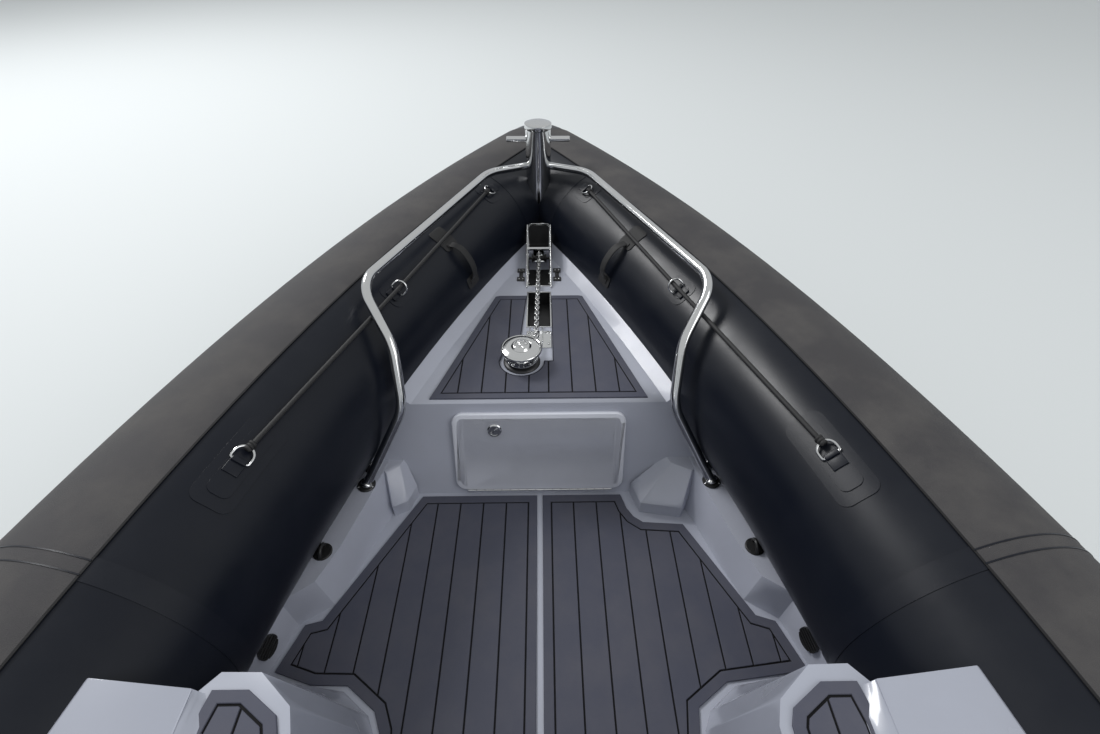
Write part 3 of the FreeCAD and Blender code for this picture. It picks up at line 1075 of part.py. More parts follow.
# Propeller: a hub with three twisted blades.
prop = turned("propeller", ((0, 0), ("Sizes.hubRadius - 8", 0), ("Sizes.hubRadius", 14), ("Sizes.hubRadius", 118),
                            ("Sizes.hubRadius - 14", 140), (0, 140)),
              ("0", "Sizes.engineY + 430 + Sizes.gap", "Sizes.propHeight"), Rotation(Vector(1, 0, 0), -90))
BLADE = (
    # share of the way out, half chord, half thickness, pitch
    (0.0, 44, 7, 58), (0.45, 70, 5, 38), (0.8, 66, 3.5, 27), (1.0, 34, 2, 22),
)
stations = []
for i, (share, chord, thick, pitch) in enumerate(BLADE):
    turn = Rotation(Vector(0, 0, 1), 90 - pitch)
    out = f"(Sizes.hubRadius - 12) + {share} * (Sizes.propRadius - Sizes.hubRadius + 12)"
    corners = [(-chord, 0), (-chord * 0.4, -thick), (chord * 0.5, -thick), (chord, 0), (chord * 0.5, thick), (-chord * 0.4, thick)]
    station = sketch(prop, f"blade_{i}", "YZ_Plane", corners, Placement(Vector(0, 70, 0), turn))
    station.setExpression("AttachmentOffset.Base.z", out)
    stations.append(station)
doc.recompute()
blade = prop.newObject("PartDesign::AdditiveLoft", "blade")
blade.Profile = stations[0]
blade.Sections = stations[1:]
blade.Ruled = True
doc.recompute()
blades = prop.newObject("PartDesign::PolarPattern", "blades")
blades.Originals = [blade]
blades.Axis = (next(f for f in prop.Origin.OriginFeatures if f.Role == "Z_Axis"), [""])
blades.Angle = 360
blades.Occurrences = 3
prop.Tip = blades
keep(prop, "propeller")

# Swim platforms, with lugs for the boarding ladder that lies folded on the starboard one.
platform_top = 150
rail_x = (-500, -740)
hinge_y, hinge_z = size.platformEnd + 18, platform_top + 22
PLATFORM = [(430, 0), (800, 0), (800, size.platformEnd - size.transomY - 90), (710, size.platformEnd - size.transomY),
            (430, size.platformEnd - size.transomY)]
platform = prism([Vector(x, size.transomY + size.gap + y, platform_top - 40) for x, y in PLATFORM], Vector(0, 0, 40))
lugs = []
for x in rail_x:
    lugs.append(box((x + 12 + size.gap, size.platformEnd - 44, platform_top - 30), (x + 24, hinge_y + 10, hinge_z + 12)))
feature("swim_platforms", platform, flip(platform).fuse(lugs).removeSplitter())
bars = []
for i, x in enumerate(rail_x):
    knuckle = primitive("Cylinder", f"LadderKnuckle{i}", {"Radius": "12", "Height": "24"})
    knuckle.Placement = Placement(Vector(x - 12, hinge_y, hinge_z), Rotation(Vector(0, 1, 0), 90))
    side_bar = primitive("Cylinder", f"LadderRail{i}", {"Radius": "11"})
    side_bar.setExpression("Height", "Sizes.platformEnd + 18 - Sizes.transomY - 60")
    side_bar.Placement = Placement(Vector(x, hinge_y, hinge_z), Rotation(Vector(1, 0, 0), 90))
    bars += [knuckle, side_bar]
for i in range(3):
    y = size.transomY + 90 + 120 * i
    tread = primitive("Box", f"LadderTread{i}", {"Length": str(rail_x[0] - rail_x[1]), "Width": "50", "Height": "16"})
    tread.Placement = Placement(Vector(rail_x[1], y, hinge_z - 8), Rotation())
    bars.append(tread)
joined("ladder", bars)

doc.recompute()
for item in doc.Objects:
    if "Invalid" in item.State or "Error" in item.State:
        raise RuntimeError(f"{item.Label} failed")
bad = [item.Label for item in pieces if item.Shape.isNull() or not item.Shape.isValid()]
if bad:
    raise RuntimeError("no valid shape: " + ", ".join(bad))

os.makedirs("parts", exist_ok=True)
for item in pieces:
    item.Shape.exportStep(f"parts/{item.Label}.step")
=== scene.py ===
import bmesh
import bpy
import json
import math
from mathutils import Matrix, Vector

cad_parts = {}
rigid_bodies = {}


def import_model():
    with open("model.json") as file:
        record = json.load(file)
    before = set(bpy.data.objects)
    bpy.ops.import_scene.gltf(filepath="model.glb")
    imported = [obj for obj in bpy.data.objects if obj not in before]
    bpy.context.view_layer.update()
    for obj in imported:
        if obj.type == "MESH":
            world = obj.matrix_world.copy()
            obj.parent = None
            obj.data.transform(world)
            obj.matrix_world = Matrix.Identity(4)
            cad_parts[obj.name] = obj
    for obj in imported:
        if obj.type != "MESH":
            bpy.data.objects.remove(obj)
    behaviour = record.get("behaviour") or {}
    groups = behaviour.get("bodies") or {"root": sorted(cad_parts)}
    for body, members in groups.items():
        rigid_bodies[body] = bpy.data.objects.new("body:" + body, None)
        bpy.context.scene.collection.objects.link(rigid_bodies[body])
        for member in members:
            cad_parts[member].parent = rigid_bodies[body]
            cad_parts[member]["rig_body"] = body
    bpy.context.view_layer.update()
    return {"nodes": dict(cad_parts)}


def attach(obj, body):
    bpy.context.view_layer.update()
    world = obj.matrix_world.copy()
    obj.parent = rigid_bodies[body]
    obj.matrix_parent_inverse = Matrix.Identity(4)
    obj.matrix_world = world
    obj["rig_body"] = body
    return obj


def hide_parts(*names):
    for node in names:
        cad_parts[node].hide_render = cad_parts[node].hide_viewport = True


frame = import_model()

nodes = frame["nodes"]

# Calm pale water stands in for the sea: one flat sheet at the waterline, lit evenly, so the hull
# shows only what floats above it.
bm = bmesh.new()
bmesh.ops.create_grid(bm, x_segments=1, y_segments=1, size=60)
water_mesh = bpy.data.meshes.new("floor")
bm.to_mesh(water_mesh)
bm.free()
water = bpy.data.objects.new("floor", water_mesh)
bpy.context.scene.collection.objects.link(water)
pale = bpy.data.materials.new("pale_floor")
pale.use_nodes = True
base = pale.node_tree.nodes["Principled BSDF"]
base.inputs["Base Color"].default_value = (0.66, 0.69, 0.70, 1)
base.inputs["Roughness"].default_value = 0.7
base.inputs["Specular IOR Level"].default_value = 0.2
water_mesh.materials.append(pale)

# Daylight from a studio: a pale sky all round, a broad lamp high over the port bow and a weaker one
# over the starboard quarter, so polished metal has something to mirror.
world = bpy.data.worlds.new("studio")
bpy.context.scene.world = world
world.use_nodes = True
sky = world.node_tree.nodes["Background"]
sky.inputs["Strength"].default_value = 0.62
ramp = world.node_tree.nodes.new("ShaderNodeValToRGB")
ramp.color_ramp.elements[0].position = 0.40
ramp.color_ramp.elements[0].color = (0.42, 0.46, 0.50, 1)
ramp.color_ramp.elements[1].position = 0.75
ramp.color_ramp.elements[1].color = (0.98, 1.0, 1.0, 1)
middle = ramp.color_ramp.elements.new(0.52)
middle.color = (0.86, 0.90, 0.95, 1)
coords = world.node_tree.nodes.new("ShaderNodeTexCoord")
split = world.node_tree.nodes.new("ShaderNodeSeparateXYZ")
height = world.node_tree.nodes.new("ShaderNodeMapRange")
height.inputs["From Min"].default_value = -1
for output, socket in ((coords.outputs["Generated"], split.inputs[0]),
                       (split.outputs["Z"], height.inputs["Value"]), (height.outputs[0], ramp.inputs[0]),
                       (ramp.outputs[0], sky.inputs["Color"])):
    world.node_tree.links.new(output, socket)
for name, spot, aim, power, wide in (
        ("sun_soft", (7.5, -8.5, 9.0), (0, -2.2, 0.4), 900, 3.6),
        ("fill", (-9.0, 4.0, 8.0), (0, 0, 0.5), 380, 7.0)):
    lamp = bpy.data.lights.new(name, "AREA")
    lamp.energy, lamp.size = power, wide
    holder = bpy.data.objects.new(name, lamp)
    holder.location = spot
    holder.rotation_euler = (Vector(aim) - Vector(spot)).to_track_quat("-Z", "Y").to_euler()
    bpy.context.scene.collection.objects.link(holder)

# The eye of someone who stands between the consoles and looks over the bow, tilted well down.
lens = bpy.data.cameras.new("eye")
lens.lens, lens.sensor_width = 18.52, 36
lens.clip_start, lens.clip_end = 0.05, 200
eye = bpy.data.objects.new("eye", lens)
eye.location = (-0.0194, -1.098, 1.8825)
eye.rotation_euler = (math.radians(90 - 41.0), 0, math.radians(180 - 0.764))
bpy.context.scene.collection.objects.link(eye)
bpy.context.scene.camera = eye
bpy.context.scene.view_settings.view_transform = "Standard"

# Air tubes: a coated black fabric cut in panels and glued, one chamber each side and a bow section
# between two seams. Each is a ring of the fabric drawn along the tube's arcs and into its cone.
# The tube's radius, its axis over the waterline and off the centreline, and the plan curve's arcs.
TUBE, AXIS_Z, BEAM = 0.300, 0.578, 1.180
SIDE_R, BOW_R, SHEER_R = 14.1, 7.5, 24.0
BOW_Y, TRANSOM_Y = -4.2, 3.9
TURN = math.radians(9.2)
bow_x = BEAM - SIDE_R + (SIDE_R - BOW_R) * math.cos(TURN)
BOW_TURN = math.acos(-bow_x / BOW_R)
side_y = BOW_Y + (SIDE_R - BOW_R) * math.sin(TURN) + BOW_R * math.sin(BOW_TURN)
side_hub = Vector((BEAM - SIDE_R, side_y, AXIS_Z))
bow_hub = Vector((bow_x, side_y - (SIDE_R - BOW_R) * math.sin(TURN), AXIS_Z))
UP = Vector((0, 0, 1))
PORT_AND_STARBOARD = (("port", 1), ("starboard", -1))


def moved(spot_at):
    """A shift as a matrix."""
    return Matrix.Translation(spot_at)


def turned(degrees, axis):
    """A turn about an axis as a matrix."""
    return Matrix.Rotation(math.radians(degrees), 4, axis)


def round_angles(count):
    """The angles of points spread evenly round a full turn."""
    return [2 * math.pi * k / count for k in range(count)]


def circle(centre, side, top, radius, count):
    """Points of a circle in the plane of two directions, starting on the first."""
    return [centre + (side * math.cos(a) + top * math.sin(a)) * radius for a in round_angles(count)]


def axis_at(y):
    """The port tube's axis, its outboard direction and the direction aft along it."""
    if y >= side_y:
        tilt = math.asin((y - side_y) / SHEER_R)
        return (Vector((BEAM, y, AXIS_Z - SHEER_R * (1 - math.cos(tilt)))), Vector((1, 0, 0)),
                Vector((0, math.cos(tilt), -math.sin(tilt))))
    hub, reach = side_hub, SIDE_R
    angle = math.asin((side_y - y) / SIDE_R)
    if angle > TURN:
        hub, reach = bow_hub, BOW_R
        angle = math.asin((bow_hub.y - y) / BOW_R)
    out = Vector((math.cos(angle), -math.sin(angle), 0))
    return hub + out * reach, out, Vector((-out.y, out.x, 0))


def bow_station(along):
    """The station that lies this far along the port tube's axis from the centreline at the bow."""
    return bow_hub.y - BOW_R * math.sin(BOW_TURN - along / BOW_R)


def on_tube(y, degrees, lift=0.0):
    """A point on the port tube and the way out of it, at an angle from the crown."""
    centre, out, aft = axis_at(y)
    turn = math.radians(degrees)
    normal = out * math.sin(turn) + out.cross(aft) * math.cos(turn)
    return centre + normal * (TUBE + lift), normal


def stations(start, stop, step):
    """Where the rings of a length of tube stand, close enough together for its curve."""
    count = max(1, round((stop - start) / step))
    return [start + (stop - start) * i / count for i in range(count + 1)]


def hoop(bm, outline):
    """A closed loop of edges through these points."""
    verts = [bm.verts.new(p) for p in outline]
    return [bm.edges.new((a, b)) for a, b in zip(verts, verts[1:] + verts[:1])]


def bridge(bm, loops, ends=True):
    """A skin over a row of loops, closed at both ends when asked."""
    for one, after in zip(loops, loops[1:]):
        bmesh.ops.bridge_loops(bm, edges=one + after)
    if ends:
        for loop in (loops[0], loops[-1]):
            bmesh.ops.contextual_create(bm, geom=loop)


def tube_band(bm, places, start, stop, low, high, sides):
    """A closed band that follows the port tube between two angles and two heights over its skin."""
    loops = []
    for y in places:
        inner = [on_tube(y, start + (stop - start) * k / sides, low)[0] for k in range(sides + 1)]
        outer = [on_tube(y, start + (stop - start) * k / sides, high)[0] for k in range(sides + 1)]
        loops.append(hoop(bm, inner + outer[::-1]))
    bridge(bm, loops)


def everything(bm):
    """All of a mesh's corners, edges and faces, as its operators ask for them."""
    return bm.verts[:] + bm.edges[:] + bm.faces[:]


def to_starboard(bm):
    """Mirrors a mesh over the centreline."""
    bmesh.ops.scale(bm, vec=(-1, 1, 1), verts=bm.verts[:])


def poured(bm, other):
    """Adds a mesh to another one and frees it."""
    spare = bpy.data.meshes.new("spare")
    other.to_mesh(spare)
    other.free()
    bm.from_mesh(spare)
    bpy.data.meshes.remove(spare)


def placed(bm, name, material, soft_edge):
    """An object in the scene made of a mesh, smooth up to an edge angle."""
    mesh = bpy.data.meshes.new(name)
    bm.to_mesh(mesh)
    bm.free()
    mesh.shade_smooth()
    mesh.set_sharp_from_angle(angle=math.radians(soft_edge))
    mesh.materials.clear()
    mesh.materials.append(material)
    item = bpy.data.objects.new(name, mesh)
    bpy.context.scene.collection.objects.link(item)
    return item


def round_off(item, width, segments, angle):
    """Rounds a piece's edges that are sharper than an angle."""
    edges = item.modifiers.new("rounded", "BEVEL")
    edges.width, edges.segments, edges.limit_method = width, segments, "ANGLE"
    edges.angle_limit = math.radians(angle)
    edges.harden_normals = True


def made_finer(item, levels=1):
    """Rounds a piece's faces by halving them."""
    finer = item.modifiers.new("finer", "SUBSURF")
    finer.levels = finer.render_levels = levels


def show(bm, name, body, material, replaces=(), soft_edge=35, mirror=False, bevel=0.0, levels=0):
    """Makes a finished piece of a mesh, smooth up to an edge angle, on its body."""
    if mirror:
        twin = bmesh.ops.duplicate(bm, geom=everything(bm))["geom"]
        bmesh.ops.scale(bm, vec=(-1, 1, 1), verts=[g for g in twin if isinstance(g, bmesh.types.BMVert)])
        bmesh.ops.reverse_faces(bm, faces=[g for g in twin if isinstance(g, bmesh.types.BMFace)])
    bmesh.ops.recalc_face_normals(bm, faces=bm.faces[:])
    item = placed(bm, name, material, soft_edge)
    if bevel:
        round_off(item, bevel, 2, 30)
    if levels:
        made_finer(item, levels)
    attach(item, body)
    if replaces:
        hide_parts(*replaces)
    return item


def linked(tree, *pairs):
    """Joins outputs to inputs in a node tree, pair by pair."""
    for output, socket in pairs:
        tree.links.new(output, socket)


def finish(name, colour, rough, metallic=0.0, coat=0.0, specular=0.5):
    """A new material with its shader's plain values set."""
    made = bpy.data.materials.new(name)
    made.use_nodes = True
    shader = made.node_tree.nodes["Principled BSDF"]
    shader.inputs["Base Color"].default_value = (*colour, 1)
    shader.inputs["Roughness"].default_value = rough
    shader.inputs["Metallic"].default_value = metallic
    shader.inputs["Coat Weight"].default_value = coat
    shader.inputs["Specular IOR Level"].default_value = specular
    return made


def add(tree, kind, **values):
    """A node with some of its settings or inputs given."""
    node = tree.nodes.new("ShaderNode" + kind)
    for key, value in values.items():
        if hasattr(node, key):
            setattr(node, key, value)
        else:
            node.inputs[key.replace("_", " ")].default_value = value
    return node


def effect(name, inputs, outputs):
    """An empty node group with named float or colour sockets."""
    group = bpy.data.node_groups.new(name, "ShaderNodeTree")
    for kind, sockets in (("INPUT", inputs), ("OUTPUT", outputs)):
        for label, socket, value in sockets:
            made = group.interface.new_socket(name=label, in_out=kind, socket_type="NodeSocket" + socket)
            if value is not None:
                made.default_value = value
    group.nodes.new("NodeGroupInput").name = "in"
    group.nodes.new("NodeGroupOutput").name = "out"
    return group


# Shared effects of every finish on the boat: an uneven tint with faint salt and dust, and a grain.
tint = effect("uneven_tint", [("Colour", "Color", None), ("Other", "Color", None), ("Size", "Float", 4.0),
                              ("Amount", "Float", 0.5)], [("Colour", "Color", None), ("Mask", "Float", None)])
t, i, o = tint, tint.nodes["in"], tint.nodes["out"]
place = add(t, "TexCoord")
cloud = add(t, "TexNoise", Detail=6.0, Roughness=0.62)
edge = add(t, "MapRange", From_Min=0.42, From_Max=0.66)
mask = add(t, "Math", operation="MULTIPLY")
mix = add(t, "Mix", data_type="RGBA")
linked(t, (place.outputs["Object"], cloud.inputs["Vector"]), (i.outputs["Size"], cloud.inputs["Scale"]),
       (cloud.outputs["Fac"], edge.inputs["Value"]), (edge.outputs[0], mask.inputs[0]),
       (i.outputs["Amount"], mask.inputs[1]), (mask.outputs[0], mix.inputs["Factor"]),
       (i.outputs["Colour"], mix.inputs["A"]), (i.outputs["Other"], mix.inputs["B"]),
       (mix.outputs["Result"], o.inputs["Colour"]), (mask.outputs[0], o.inputs["Mask"]))

grain = effect("fine_grain", [("Size", "Float", 400.0), ("Depth", "Float", 0.3),
                              ("Distance", "Float", 0.001)],
               [("Normal", "Vector", None), ("Height", "Float", None)])
t, i, o = grain, grain.nodes["in"], grain.nodes["out"]
place = add(t, "TexCoord")
cells = add(t, "TexVoronoi")
soft = add(t, "TexNoise", Detail=3.0)
both = add(t, "Math", operation="ADD")
bump = add(t, "Bump")
linked(t, (place.outputs["Object"], cells.inputs["Vector"]), (place.outputs["Object"], soft.inputs["Vector"]),
       (i.outputs["Size"], cells.inputs["Scale"]), (i.outputs["Size"], soft.inputs["Scale"]),
       (cells.outputs["Distance"], both.inputs[0]), (soft.outputs["Fac"], both.inputs[1]),
       (both.outputs[0], bump.inputs["Height"]), (i.outputs["Depth"], bump.inputs["Strength"]),
       (i.outputs["Distance"], bump.inputs["Distance"]), (bump.outputs["Normal"], o.inputs["Normal"]),
       (both.outputs[0], o.inputs["Height"]))


def dressed(name, colour, other, rough, size=4.0, amount=0.5, grains=0.0, depth=0.25, distance=0.0006,
            **plain):
    """A finish with the uneven tint, the grain and a roughness that goes with the tint."""
    made = finish(name, colour, rough, **plain)
    tree = made.node_tree
    shader = tree.nodes["Principled BSDF"]
    uneven = tree.nodes.new("ShaderNodeGroup")
    uneven.node_tree, uneven.name = tint, "uneven"
    uneven.inputs["Colour"].default_value = (*colour, 1)
    uneven.inputs["Other"].default_value = (*other, 1)
    uneven.inputs["Size"].default_value, uneven.inputs["Amount"].default_value = size, amount
    sheen = add(tree, "MapRange", To_Min=rough, To_Max=rough + 0.12)
    linked(tree, (uneven.outputs["Colour"], shader.inputs["Base Color"]),
           (uneven.outputs["Mask"], sheen.inputs["Value"]), (sheen.outputs[0], shader.inputs["Roughness"]))
    if grains:
        fine = tree.nodes.new("ShaderNodeGroup")
        fine.node_tree, fine.name = grain, "grain"
        fine.inputs["Size"].default_value, fine.inputs["Depth"].default_value = grains, depth
        fine.inputs["Distance"].default_value = distance
        tree.links.new(fine.outputs["Normal"], shader.inputs["Normal"])
    return made


tube_fabric = dressed("tube_fabric", (0.0048, 0.0066, 0.0125), (0.0085, 0.0105, 0.0165), 0.30, size=2.6,
                      amount=0.8, grains=900, depth=0.10, distance=0.0003, specular=0.27)
seam_fabric = dressed("seam_fabric", (0.0056, 0.0074, 0.0135), (0.0095, 0.0115, 0.0175), 0.33, size=9,
                      grains=1100, depth=0.12, specular=0.29)
ROUND, CONE_LONG, CONE_TIP = 88, 0.560, 0.120
BOW_SECTION = 0.620
gusset_y = bow_station(BOW_SECTION)
for side, sign in PORT_AND_STARBOARD:
    bm = bmesh.new()
    loops = [hoop(bm, [on_tube(y, 360 * k / ROUND)[0] for k in range(ROUND)])
             for y in stations(gusset_y - 0.02, TRANSOM_Y, 0.14)]
    end, out, aft = axis_at(TRANSOM_Y)
    over = out.cross(aft)
    for share in (0.06, 0.2, 0.4, 0.6, 0.8, 1.0):
        reach = TUBE + (CONE_TIP - TUBE) * share
        loops.append(hoop(bm, circle(end + aft * CONE_LONG * share, over, out, reach, ROUND)))
    for wide, along in ((0.97, 0.10), (0.80, 0.22), (0.45, 0.36), (0.12, 0.40)):
        reach = CONE_LONG + CONE_TIP * along
        loops.append(hoop(bm, circle(end + aft * reach, over, out, CONE_TIP * wide, ROUND)))
    bridge(bm, loops)
    if sign < 0:
        to_starboard(bm)
    show(bm, f"air_tube_{side}", "boat", tube_fabric, [f"tube_{side}"])

# The bow section's two stretches are cut off on the centreline, where a ball of fabric rounds the nose.
bm = bmesh.new()
places = [bow_station(BOW_SECTION * k / 8) for k in range(9)]
for sign in (1, -1):
    half = bmesh.new()
    loops = [hoop(half, [on_tube(y, 360 * k / ROUND)[0] for k in range(ROUND)]) for y in places]
    bridge(half, loops)
    bmesh.ops.bisect_plane(half, geom=everything(half), plane_co=(0, 0, 0), plane_no=(-1, 0, 0),
                           clear_outer=True)
    if sign < 0:
        to_starboard(half)
    poured(bm, half)
bmesh.ops.remove_doubles(bm, verts=bm.verts[:], dist=0.0005)
ball = bmesh.ops.create_uvsphere(bm, u_segments=96, v_segments=44, radius=TUBE)["verts"]
bmesh.ops.translate(bm, vec=(0, BOW_Y, AXIS_Z), verts=ball)
show(bm, "air_tube_bow", "boat", tube_fabric, ["tube_bow"])

# Seam tapes: bands of the same fabric glued over the joints of the panels, round the bow section's
# ends, round each cone and across the tubes.
bm = bmesh.new()
for y, wide in ((gusset_y, 0.055), (-1.70, 0.050), (1.10, 0.050), (TRANSOM_Y - 0.03, 0.07)):
    tube_band(bm, stations(y - wide / 2, y + wide / 2, wide / 3), -155, 155, -0.001, 0.0016, 80)
show(bm, "seam_tapes", "boat", seam_fabric, mirror=True)

# Tread strips: rough grey-brown non-slip fabric over each tube's crown, with a black welt along its
# inner edge and a pale pinstripe near its outer one.
tread_fabric = dressed("tread_fabric", (0.050, 0.048, 0.051), (0.082, 0.078, 0.077), 0.72, size=5.5,
                       amount=0.9, grains=620, depth=0.55, distance=0.0009, specular=0.35)
tree = tread_fabric.node_tree
spot = add(tree, "Attribute", attribute_name="round_tube")
last = tree.nodes["uneven"].outputs["Colour"]
for low, high, colour in ((-18, -16.6, (0.012, 0.012, 0.013, 1)), (52.6, 53.8, (0.30, 0.30, 0.30, 1)),
                          (57.2, 60, (0.012, 0.012, 0.013, 1))):
    above = add(tree, "Math", operation="GREATER_THAN")
    below = add(tree, "Math", operation="LESS_THAN")
    inside = add(tree, "Math", operation="MULTIPLY")
    line = add(tree, "Mix", data_type="RGBA")
    above.inputs[1].default_value, below.inputs[1].default_value = low, high
    line.inputs["B"].default_value = colour
    linked(tree, (spot.outputs["Fac"], above.inputs[0]), (spot.outputs["Fac"], below.inputs[0]),
           (above.outputs[0], inside.inputs[0]), (below.outputs[0], inside.inputs[1]),
           (inside.outputs[0], line.inputs["Factor"]), (last, line.inputs["A"]))
    last = line.outputs["Result"]
tree.links.new(last, tree.nodes["Principled BSDF"].inputs["Base Color"])

# Each strip carries its angle round the tube as an attribute, which the stripes above are drawn by.
bm = bmesh.new()
angle_layer = bm.verts.layers.float.new("round_tube")
across = [-17.5 + (58 + 17.5) * k / 60 for k in range(61)]
loops = []
for y in stations(bow_station(0.06), TRANSOM_Y, 0.11):
    verts = []
    for degrees, lift in [(angle, 0.004) for angle in across] + [(angle, 0.0003) for angle in across[::-1]]:
        spot_at = on_tube(y, degrees, lift)[0]
        vert = bm.verts.new((max(spot_at.x, 0.0008), spot_at.y, spot_at.z))
        vert[angle_layer] = degrees
        verts.append(vert)
    loops.append([bm.edges.new(pair) for pair in zip(verts, verts[1:] + verts[:1])])
bridge(bm, loops)
show(bm, "tread_strips", "boat", tread_fabric, ["tread_strips"], mirror=True)
bm = bmesh.new()
for y in (-1.715, -1.685, 1.085, 1.115):
    tube_band(bm, [y - 0.0015, y + 0.0015], -17.2, 57.5, 0.0035, 0.0052, 40)
show(bm, "strip_joints", "boat", seam_fabric, mirror=True)

# Rubbing strake: a ribbed black rubber extrusion glued round the tube's side, from cone to cone.
strake_rubber = dressed("strake_rubber", (0.014, 0.014, 0.015), (0.024, 0.024, 0.025), 0.42, size=12,
                        grains=700, depth=0.15, specular=0.4)
ribs = ((0.0005, -0.045), (0.017, -0.045), (0.0225, -0.040), (0.0265, -0.030), (0.028, -0.022),
        (0.0255, -0.019), (0.0255, -0.013), (0.028, -0.010), (0.028, 0.010), (0.0255, 0.013),
        (0.0255, 0.019), (0.028, 0.022), (0.0265, 0.030), (0.0225, 0.040), (0.017, 0.045), (0.0005, 0.045))
bm = bmesh.new()
loops = []
nose_turn = math.pi / 2 - BOW_TURN
for k in range(13):
    angle = math.pi / 2 - nose_turn * k / 12
    way = Vector((math.cos(angle), -math.sin(angle), 0))
    loops.append(hoop(bm, [Vector((0, BOW_Y, AXIS_Z)) + way * (TUBE + out) + UP * up for out, up in ribs]))
for y in stations(bow_station(0.01 * BOW_R), TRANSOM_Y, 0.12):
    centre, out_way, aft = axis_at(y)
    loops.append(hoop(bm, [centre + out_way * (TUBE + out) + out_way.cross(aft) * up for out, up in ribs]))
bridge(bm, loops)
show(bm, "rubbing_strake", "boat", strake_rubber, ["rubbing_strake"], soft_edge=28,
     mirror=True)

# Lifelines: black braided rope. The outer one runs through rubber holders round the whole boat, and
# the inner one is tied from ring to ring on each tube.
rope_fibre = dressed("rope_fibre", (0.011, 0.011, 0.012), (0.030, 0.030, 0.032), 0.62, size=300, amount=0.8,
                     grains=1500, depth=0.3, distance=0.0003)


def braided(bm, line, radius, sides=10, pitch=0.05):
    """A rope along closely set points: a ring at each, pushed in and out where its strands cross."""
    travelled = 0.0
    loops = []
    for k, spot_at in enumerate(line):
        ahead = (line[min(k + 1, len(line) - 1)] - line[max(k - 1, 0)]).normalized()
        if k:
            travelled += (spot_at - line[k - 1]).length
        side = ahead.cross(UP).normalized()
        top = side.cross(ahead)
        ring = []
        phase = 2 * math.pi * travelled / pitch
        for angle in round_angles(sides):
            bulge = 1 + 0.07 * math.cos(4 * angle + phase) * math.cos(4 * angle - phase)
            ring.append(spot_at + (side * math.cos(angle) + top * math.sin(angle)) * radius * bulge)
        loops.append(hoop(bm, ring))
    bridge(bm, loops)


ROPE, ROPE_LIFT, ROPE_ANGLE = 0.007, 0.010, 64
bm = bmesh.new()
braided(bm, [on_tube(y, ROPE_ANGLE, ROPE_LIFT)[0] for y in stations(bow_station(0.42), TRANSOM_Y, 0.0085)],
        ROPE * 0.97)
show(bm, "outer_lifelines", "boat", rope_fibre, ["lifelines_outer"], soft_edge=60, mirror=True)

# Fittings glued to the tubes: ring patches with a sewn edge, the stainless rings they hold, the lift
# handles of black webbing and the rubber holders that the outer rope runs through.
stainless = finish("stainless", (0.66, 0.665, 0.67), 0.09, metallic=1.0)
tree = stainless.node_tree
place = add(tree, "TexCoord")
smear = add(tree, "TexNoise", Scale=14.0, Detail=5.0)
gloss = add(tree, "MapRange", From_Min=0.35, From_Max=0.75, To_Min=0.05, To_Max=0.19)
linked(tree, (place.outputs["Object"], smear.inputs["Vector"]), (smear.outputs["Fac"], gloss.inputs["Value"]),
       (gloss.outputs[0], tree.nodes["Principled BSDF"].inputs["Roughness"]))


def block(bm, low, high, at=Matrix.Identity(4), rounding=0.0):
    """A box between two corners, its edges rounded when asked, put in place by a matrix."""
    verts = bmesh.ops.create_cube(bm, size=1)["verts"]
    span = [high[k] - low[k] for k in range(3)]
    bmesh.ops.scale(bm, vec=span, verts=verts)
    bmesh.ops.translate(bm, vec=[(high[k] + low[k]) / 2 for k in range(3)], verts=verts)
    bmesh.ops.transform(bm, matrix=at, verts=verts)
    if rounding:
        edges = list({e for v in verts for e in v.link_edges})
        bmesh.ops.bevel(bm, geom=edges, offset=rounding, segments=3, profile=0.5, affect="EDGES", material=-1)


def lathe(bm, outline, at=Matrix.Identity(4), steps=48):
    """A solid of revolution about Z from (radius, height) pairs, put in place by a matrix."""
    old = set(bm.verts)
    verts = [bm.verts.new((r, 0, h)) for r, h in outline]
    edges = [bm.edges.new(pair) for pair in zip(verts, verts[1:])]
    bmesh.ops.spin(bm, geom=verts + edges, cent=(0, 0, 0), axis=(0, 0, 1), angle=2 * math.pi, steps=steps,
                   use_merge=True)
    bmesh.ops.remove_doubles(bm, verts=[v for v in bm.verts if v not in old], dist=0.00002)
    bmesh.ops.transform(bm, matrix=at, verts=[v for v in bm.verts if v not in old])


def rounded_line(points, radii, step=math.radians(7)):
    """Corner points turned into a fine line whose corners are arcs."""
    line = [Vector(points[0])]
    for before, corner, after, radius in zip(points, points[1:], points[2:], radii):
        back, on = (Vector(before) - corner).normalized(), (Vector(after) - corner).normalized()
        half = back.angle(on) / 2
        centre = Vector(corner) + (back + on).normalized() * (radius / math.sin(half))
        reach = radius / math.tan(half)
        first, final = Vector(corner) + back * reach, Vector(corner) + on * reach
        turns = max(2, round((math.pi - 2 * half) / step))
        for k in range(turns + 1):
            way = (first - centre).normalized().slerp((final - centre).normalized(), k / turns)
            line.append(centre + way * radius)
    line.append(Vector(points[-1]))
    return line


def pipe(bm, line, radius, sides=24, squash=1.0):
    """A tube along a fine line, closed at its ends, flatter than round when asked."""
    loops = []
    side = None
    for k, spot_at in enumerate(line):
        ahead = (line[min(k + 1, len(line) - 1)] - line[max(k - 1, 0)]).normalized()
        if side is None:
            side = ahead.cross(UP if abs(ahead.z) < 0.95 else Vector((0, 1, 0))).normalized()
        side = (side - ahead * side.dot(ahead)).normalized()
        loops.append(hoop(bm, circle(spot_at, side, side.cross(ahead) * squash, radius, sides)))
    bridge(bm, loops)


